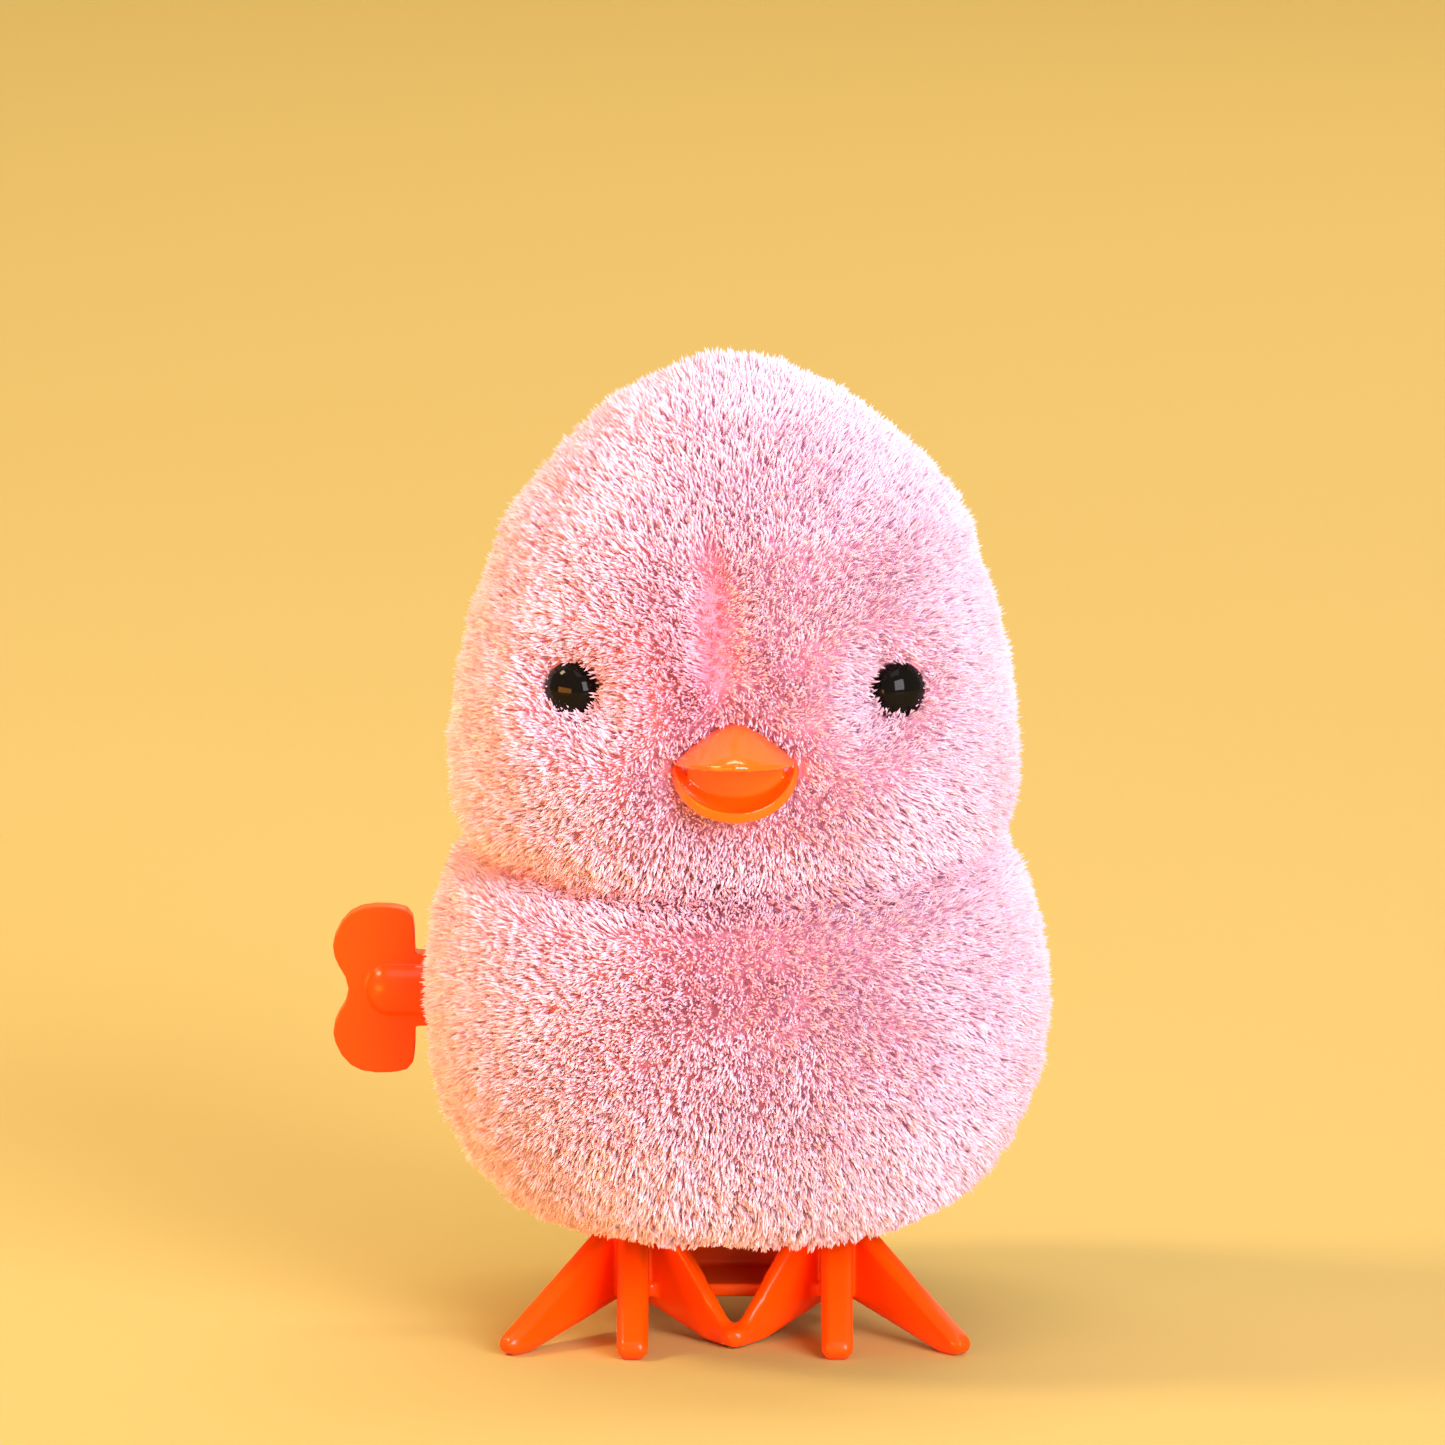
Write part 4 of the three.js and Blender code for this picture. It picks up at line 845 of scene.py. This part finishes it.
def build_feet():
    """The CAD feet with soft edges, the outer toes brought forward and the middle knuckle rounded."""
    copy = copy_of_node("feet")
    for vertex in copy.data.vertices:
        share = min(1.0, max(0.0, (abs(vertex.co.x) / MM - TOE_ROOT_X) / TOE_RUN))
        vertex.co.y -= TOE_FORWARD * MM * share
    feet = moulded("foot_moulding", [copy], 0.16, 12, 44000)
    bpy.data.objects.remove(copy)
    whole = bmesh.new()
    whole.from_mesh(feet.data)
    knuckle = [v for v in whole.verts if abs(v.co.x) < KNUCKLE_HALF * MM]
    for _ in range(KNUCKLE_ROUNDS):
        bmesh.ops.smooth_vert(whole, verts=knuckle, factor=0.5,
                              use_axis_x=True, use_axis_y=True, use_axis_z=True)
    whole.to_mesh(feet.data)
    whole.free()
    return feet


# ------------------------------------------------------------------ finishes
def new_material(name):
    mat = bpy.data.materials.new(name)
    mat.use_nodes = True
    return mat, Tree(mat.node_tree), mat.node_tree.nodes["Principled BSDF"]


def grain_group():
    """Moulding grain and handling: gives a shade, a roughness and a height that change over the surface."""
    group = bpy.data.node_groups.new("mould_grain", "ShaderNodeTree")
    face = group.interface
    for name, kind, value in (("Scale", "NodeSocketFloat", 900.0), ("Roughness", "NodeSocketFloat", 0.25),
                              ("Spread", "NodeSocketFloat", 0.08)):
        face.new_socket(name, in_out="INPUT", socket_type=kind).default_value = value
    for name in ("Shade", "Roughness", "Height"):
        face.new_socket(name, in_out="OUTPUT", socket_type="NodeSocketFloat")
    t = Tree(group)
    given = t.node("NodeGroupInput").outputs
    where = t.node("ShaderNodeTexCoord").outputs["Object"]
    fine_noise = t.node("ShaderNodeTexNoise", {"Vector": where, "Scale": given["Scale"], "Detail": 3.0})
    broad_noise = t.node("ShaderNodeTexNoise", {"Vector": where, "Scale": 120.0, "Detail": 2.0})
    fine, broad = fine_noise.outputs["Fac"], broad_noise.outputs["Fac"]
    swing = t.maths("MULTIPLY", t.maths("SUBTRACT", broad, 0.5), given["Spread"])
    uneven = t.maths("ADD", swing, t.maths("MULTIPLY", fine, given["Spread"]))
    rough = t.maths("ADD", given["Roughness"], uneven)
    t.node("NodeGroupOutput", {"Shade": broad, "Roughness": rough, "Height": fine})
    return group


GRAIN = grain_group()


def grained(name, colour, shaded, rough, spread=0.08, scale=900.0, bump_reach=0.02, metallic=0.0, coat=0.0,
            specular=None):
    """A moulded or metal finish: two close shades, uneven gloss and a fine surface."""
    mat, t, shader = new_material(name)
    grain = t.node("ShaderNodeGroup", node_tree=GRAIN)
    grain.inputs["Scale"].default_value = scale
    grain.inputs["Roughness"].default_value = rough
    grain.inputs["Spread"].default_value = spread
    mix = t.node("ShaderNodeMix", {"Factor": grain.outputs["Shade"], "A": (*shaded, 1), "B": (*colour, 1)},
                 data_type="RGBA")
    t.feed(shader.inputs["Base Color"], mix.outputs["Result"])
    t.feed(shader.inputs["Roughness"], grain.outputs["Roughness"])
    lift = t.node("ShaderNodeBump", {"Height": grain.outputs["Height"], "Strength": 0.25,
                                     "Distance": bump_reach * MM})
    t.feed(shader.inputs["Normal"], lift.outputs[0])
    shader.inputs["Metallic"].default_value = metallic
    shader.inputs["Coat Weight"].default_value = coat
    if specular is not None:
        shader.inputs["Specular IOR Level"].default_value = specular
    return mat


def pile_material():
    """Pink that pales from root to tip, the deeper roots being painted shade between the fibres; deeper where
    the bed says so, with painted shade in the neck's fold; a little uneven from fibre to fibre.
    """
    mat, t, shader = new_material("pink_pile")

    def named(name):
        return t.node("ShaderNodeAttribute", attribute_name=name, attribute_type="GEOMETRY").outputs["Fac"]

    # painted shade: the roots are a deeper pink than the tips, for the shade down between the fibres
    ramp = t.node("ShaderNodeValToRGB", {"Fac": named("along")})
    stops = ramp.color_ramp.elements
    stops[0].position, stops[0].color = 0.0, (1.0, 0.66, 0.83, 1)
    stops[1].position, stops[1].color = 1.0, (1.0, 0.79, 0.95, 1)
    middle_stop = stops.new(0.5)
    middle_stop.color = (1.0, 0.74, 0.91, 1)
    # the bed's patch deepens the pink: at the breast's spot, in the dart and over the beak it is the cloth's
    # own deeper tone, in the neck's fold it is painted shade
    deep = t.node("ShaderNodeMix", {"Factor": t.maths("MULTIPLY", named("patch"), 0.8),
                                    "A": ramp.outputs["Color"], "B": (1.0, 0.29, 0.46, 1)},
                  data_type="RGBA")
    vary = t.maths("ADD", t.maths("MULTIPLY", named("tone"), 0.2), 0.9)
    shade = t.node("ShaderNodeHueSaturation", {"Color": deep.outputs["Result"], "Value": vary})
    t.feed(shader.inputs["Base Color"], shade.outputs["Color"])
    shader.inputs["Roughness"].default_value = 0.62
    shader.inputs["Specular IOR Level"].default_value = 0.35
    shader.inputs["Sheen Weight"].default_value = 0.08
    shader.inputs["Sheen Tint"].default_value = (1.0, 0.86, 0.88, 1)
    return mat


def cloth_material():
    mat, t, shader = new_material("pink_backing")
    where = t.node("ShaderNodeTexCoord").outputs["Object"]
    knit = t.node("ShaderNodeTexNoise", {"Vector": where, "Scale": 2500.0, "Detail": 2.0})
    mix = t.node("ShaderNodeMix", {"Factor": knit.outputs["Fac"], "A": (0.97, 0.38, 0.52, 1),
                                   "B": (1.0, 0.50, 0.64, 1)}, data_type="RGBA")
    t.feed(shader.inputs["Base Color"], mix.outputs["Result"])
    shader.inputs["Roughness"].default_value = 0.9
    return mat


def dress(thing, material):
    """Gives an object one material in place of any that it has."""
    thing.data.materials.clear()
    thing.data.materials.append(material)


# ------------------------------------------------------------------ making the toy
set_camera()
build_stage()
light_scene()

orange = grained("orange_plastic", (0.98, 0.09, 0.0005), (0.95, 0.07, 0.0005), 0.22, 0.05, 700, 0.012,
                 coat=0.08, specular=0.3)
# painted light: the bill is a lighter copy of the orange plastic, standing for the stronger light on its top
bill = grained("orange_bill_painted_light", (1.0, 0.15, 0.003), (1.0, 0.125, 0.002), 0.14, 0.04, 700, 0.01, coat=0.3)
black = grained("black_bead", (0.006, 0.005, 0.005), (0.003, 0.003, 0.003), 0.05, 0.02, 600, 0.004,
                specular=0.13)
white = grained("white_moulding", (0.76, 0.74, 0.68), (0.70, 0.68, 0.61), 0.42, 0.1, 1200, 0.02)
grey = grained("grey_case", (0.27, 0.29, 0.31), (0.2, 0.22, 0.24), 0.4, 0.12, 1500, 0.03)
ivory = grained("gear_plastic", (0.84, 0.81, 0.72), (0.78, 0.74, 0.64), 0.35, 0.1, 1100, 0.02)
steel = grained("bright_steel", (0.6, 0.6, 0.61), (0.48, 0.48, 0.5), 0.22, 0.15, 2600, 0.01, metallic=1.0)
fill = grained("white_fibre", (0.86, 0.85, 0.82), (0.74, 0.73, 0.7), 0.9, 0.08, 2200, 0.2)

# the cloth and pile stand for the CAD cover, so what it wears is never seen
NODE_FINISH = {"white_moulding": white, "grey_case": grey, "gear_plastic": ivory, "steel": steel,
               "fibre_fill": fill, "orange_plastic": orange, "black_bead": black, "pink_plush": fill}
for entry in frame["record"]["subparts"]:
    dress(bpy.data.objects[entry["node"]], NODE_FINISH[entry["material_slot"]])

skin = build_skin()
dress(skin, cloth_material())
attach(skin, "bird")
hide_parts("plush_cover")

for patch in grow_pile(skin, pile_material()):
    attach(patch, "bird")

for side in ("right", "left"):
    eye = build_eye(side)
    dress(eye, black)
    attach(eye, "bird")
    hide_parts("eye_" + side)

for piece, body, node, finish in ((build_beak(), "bird", "beak", bill),
                                  (build_key(), "winding_group", "winding_key", orange),
                                  (build_feet(), "foot_frame", "feet", orange)):
    dress(piece, finish)
    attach(piece, body)
    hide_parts(node)
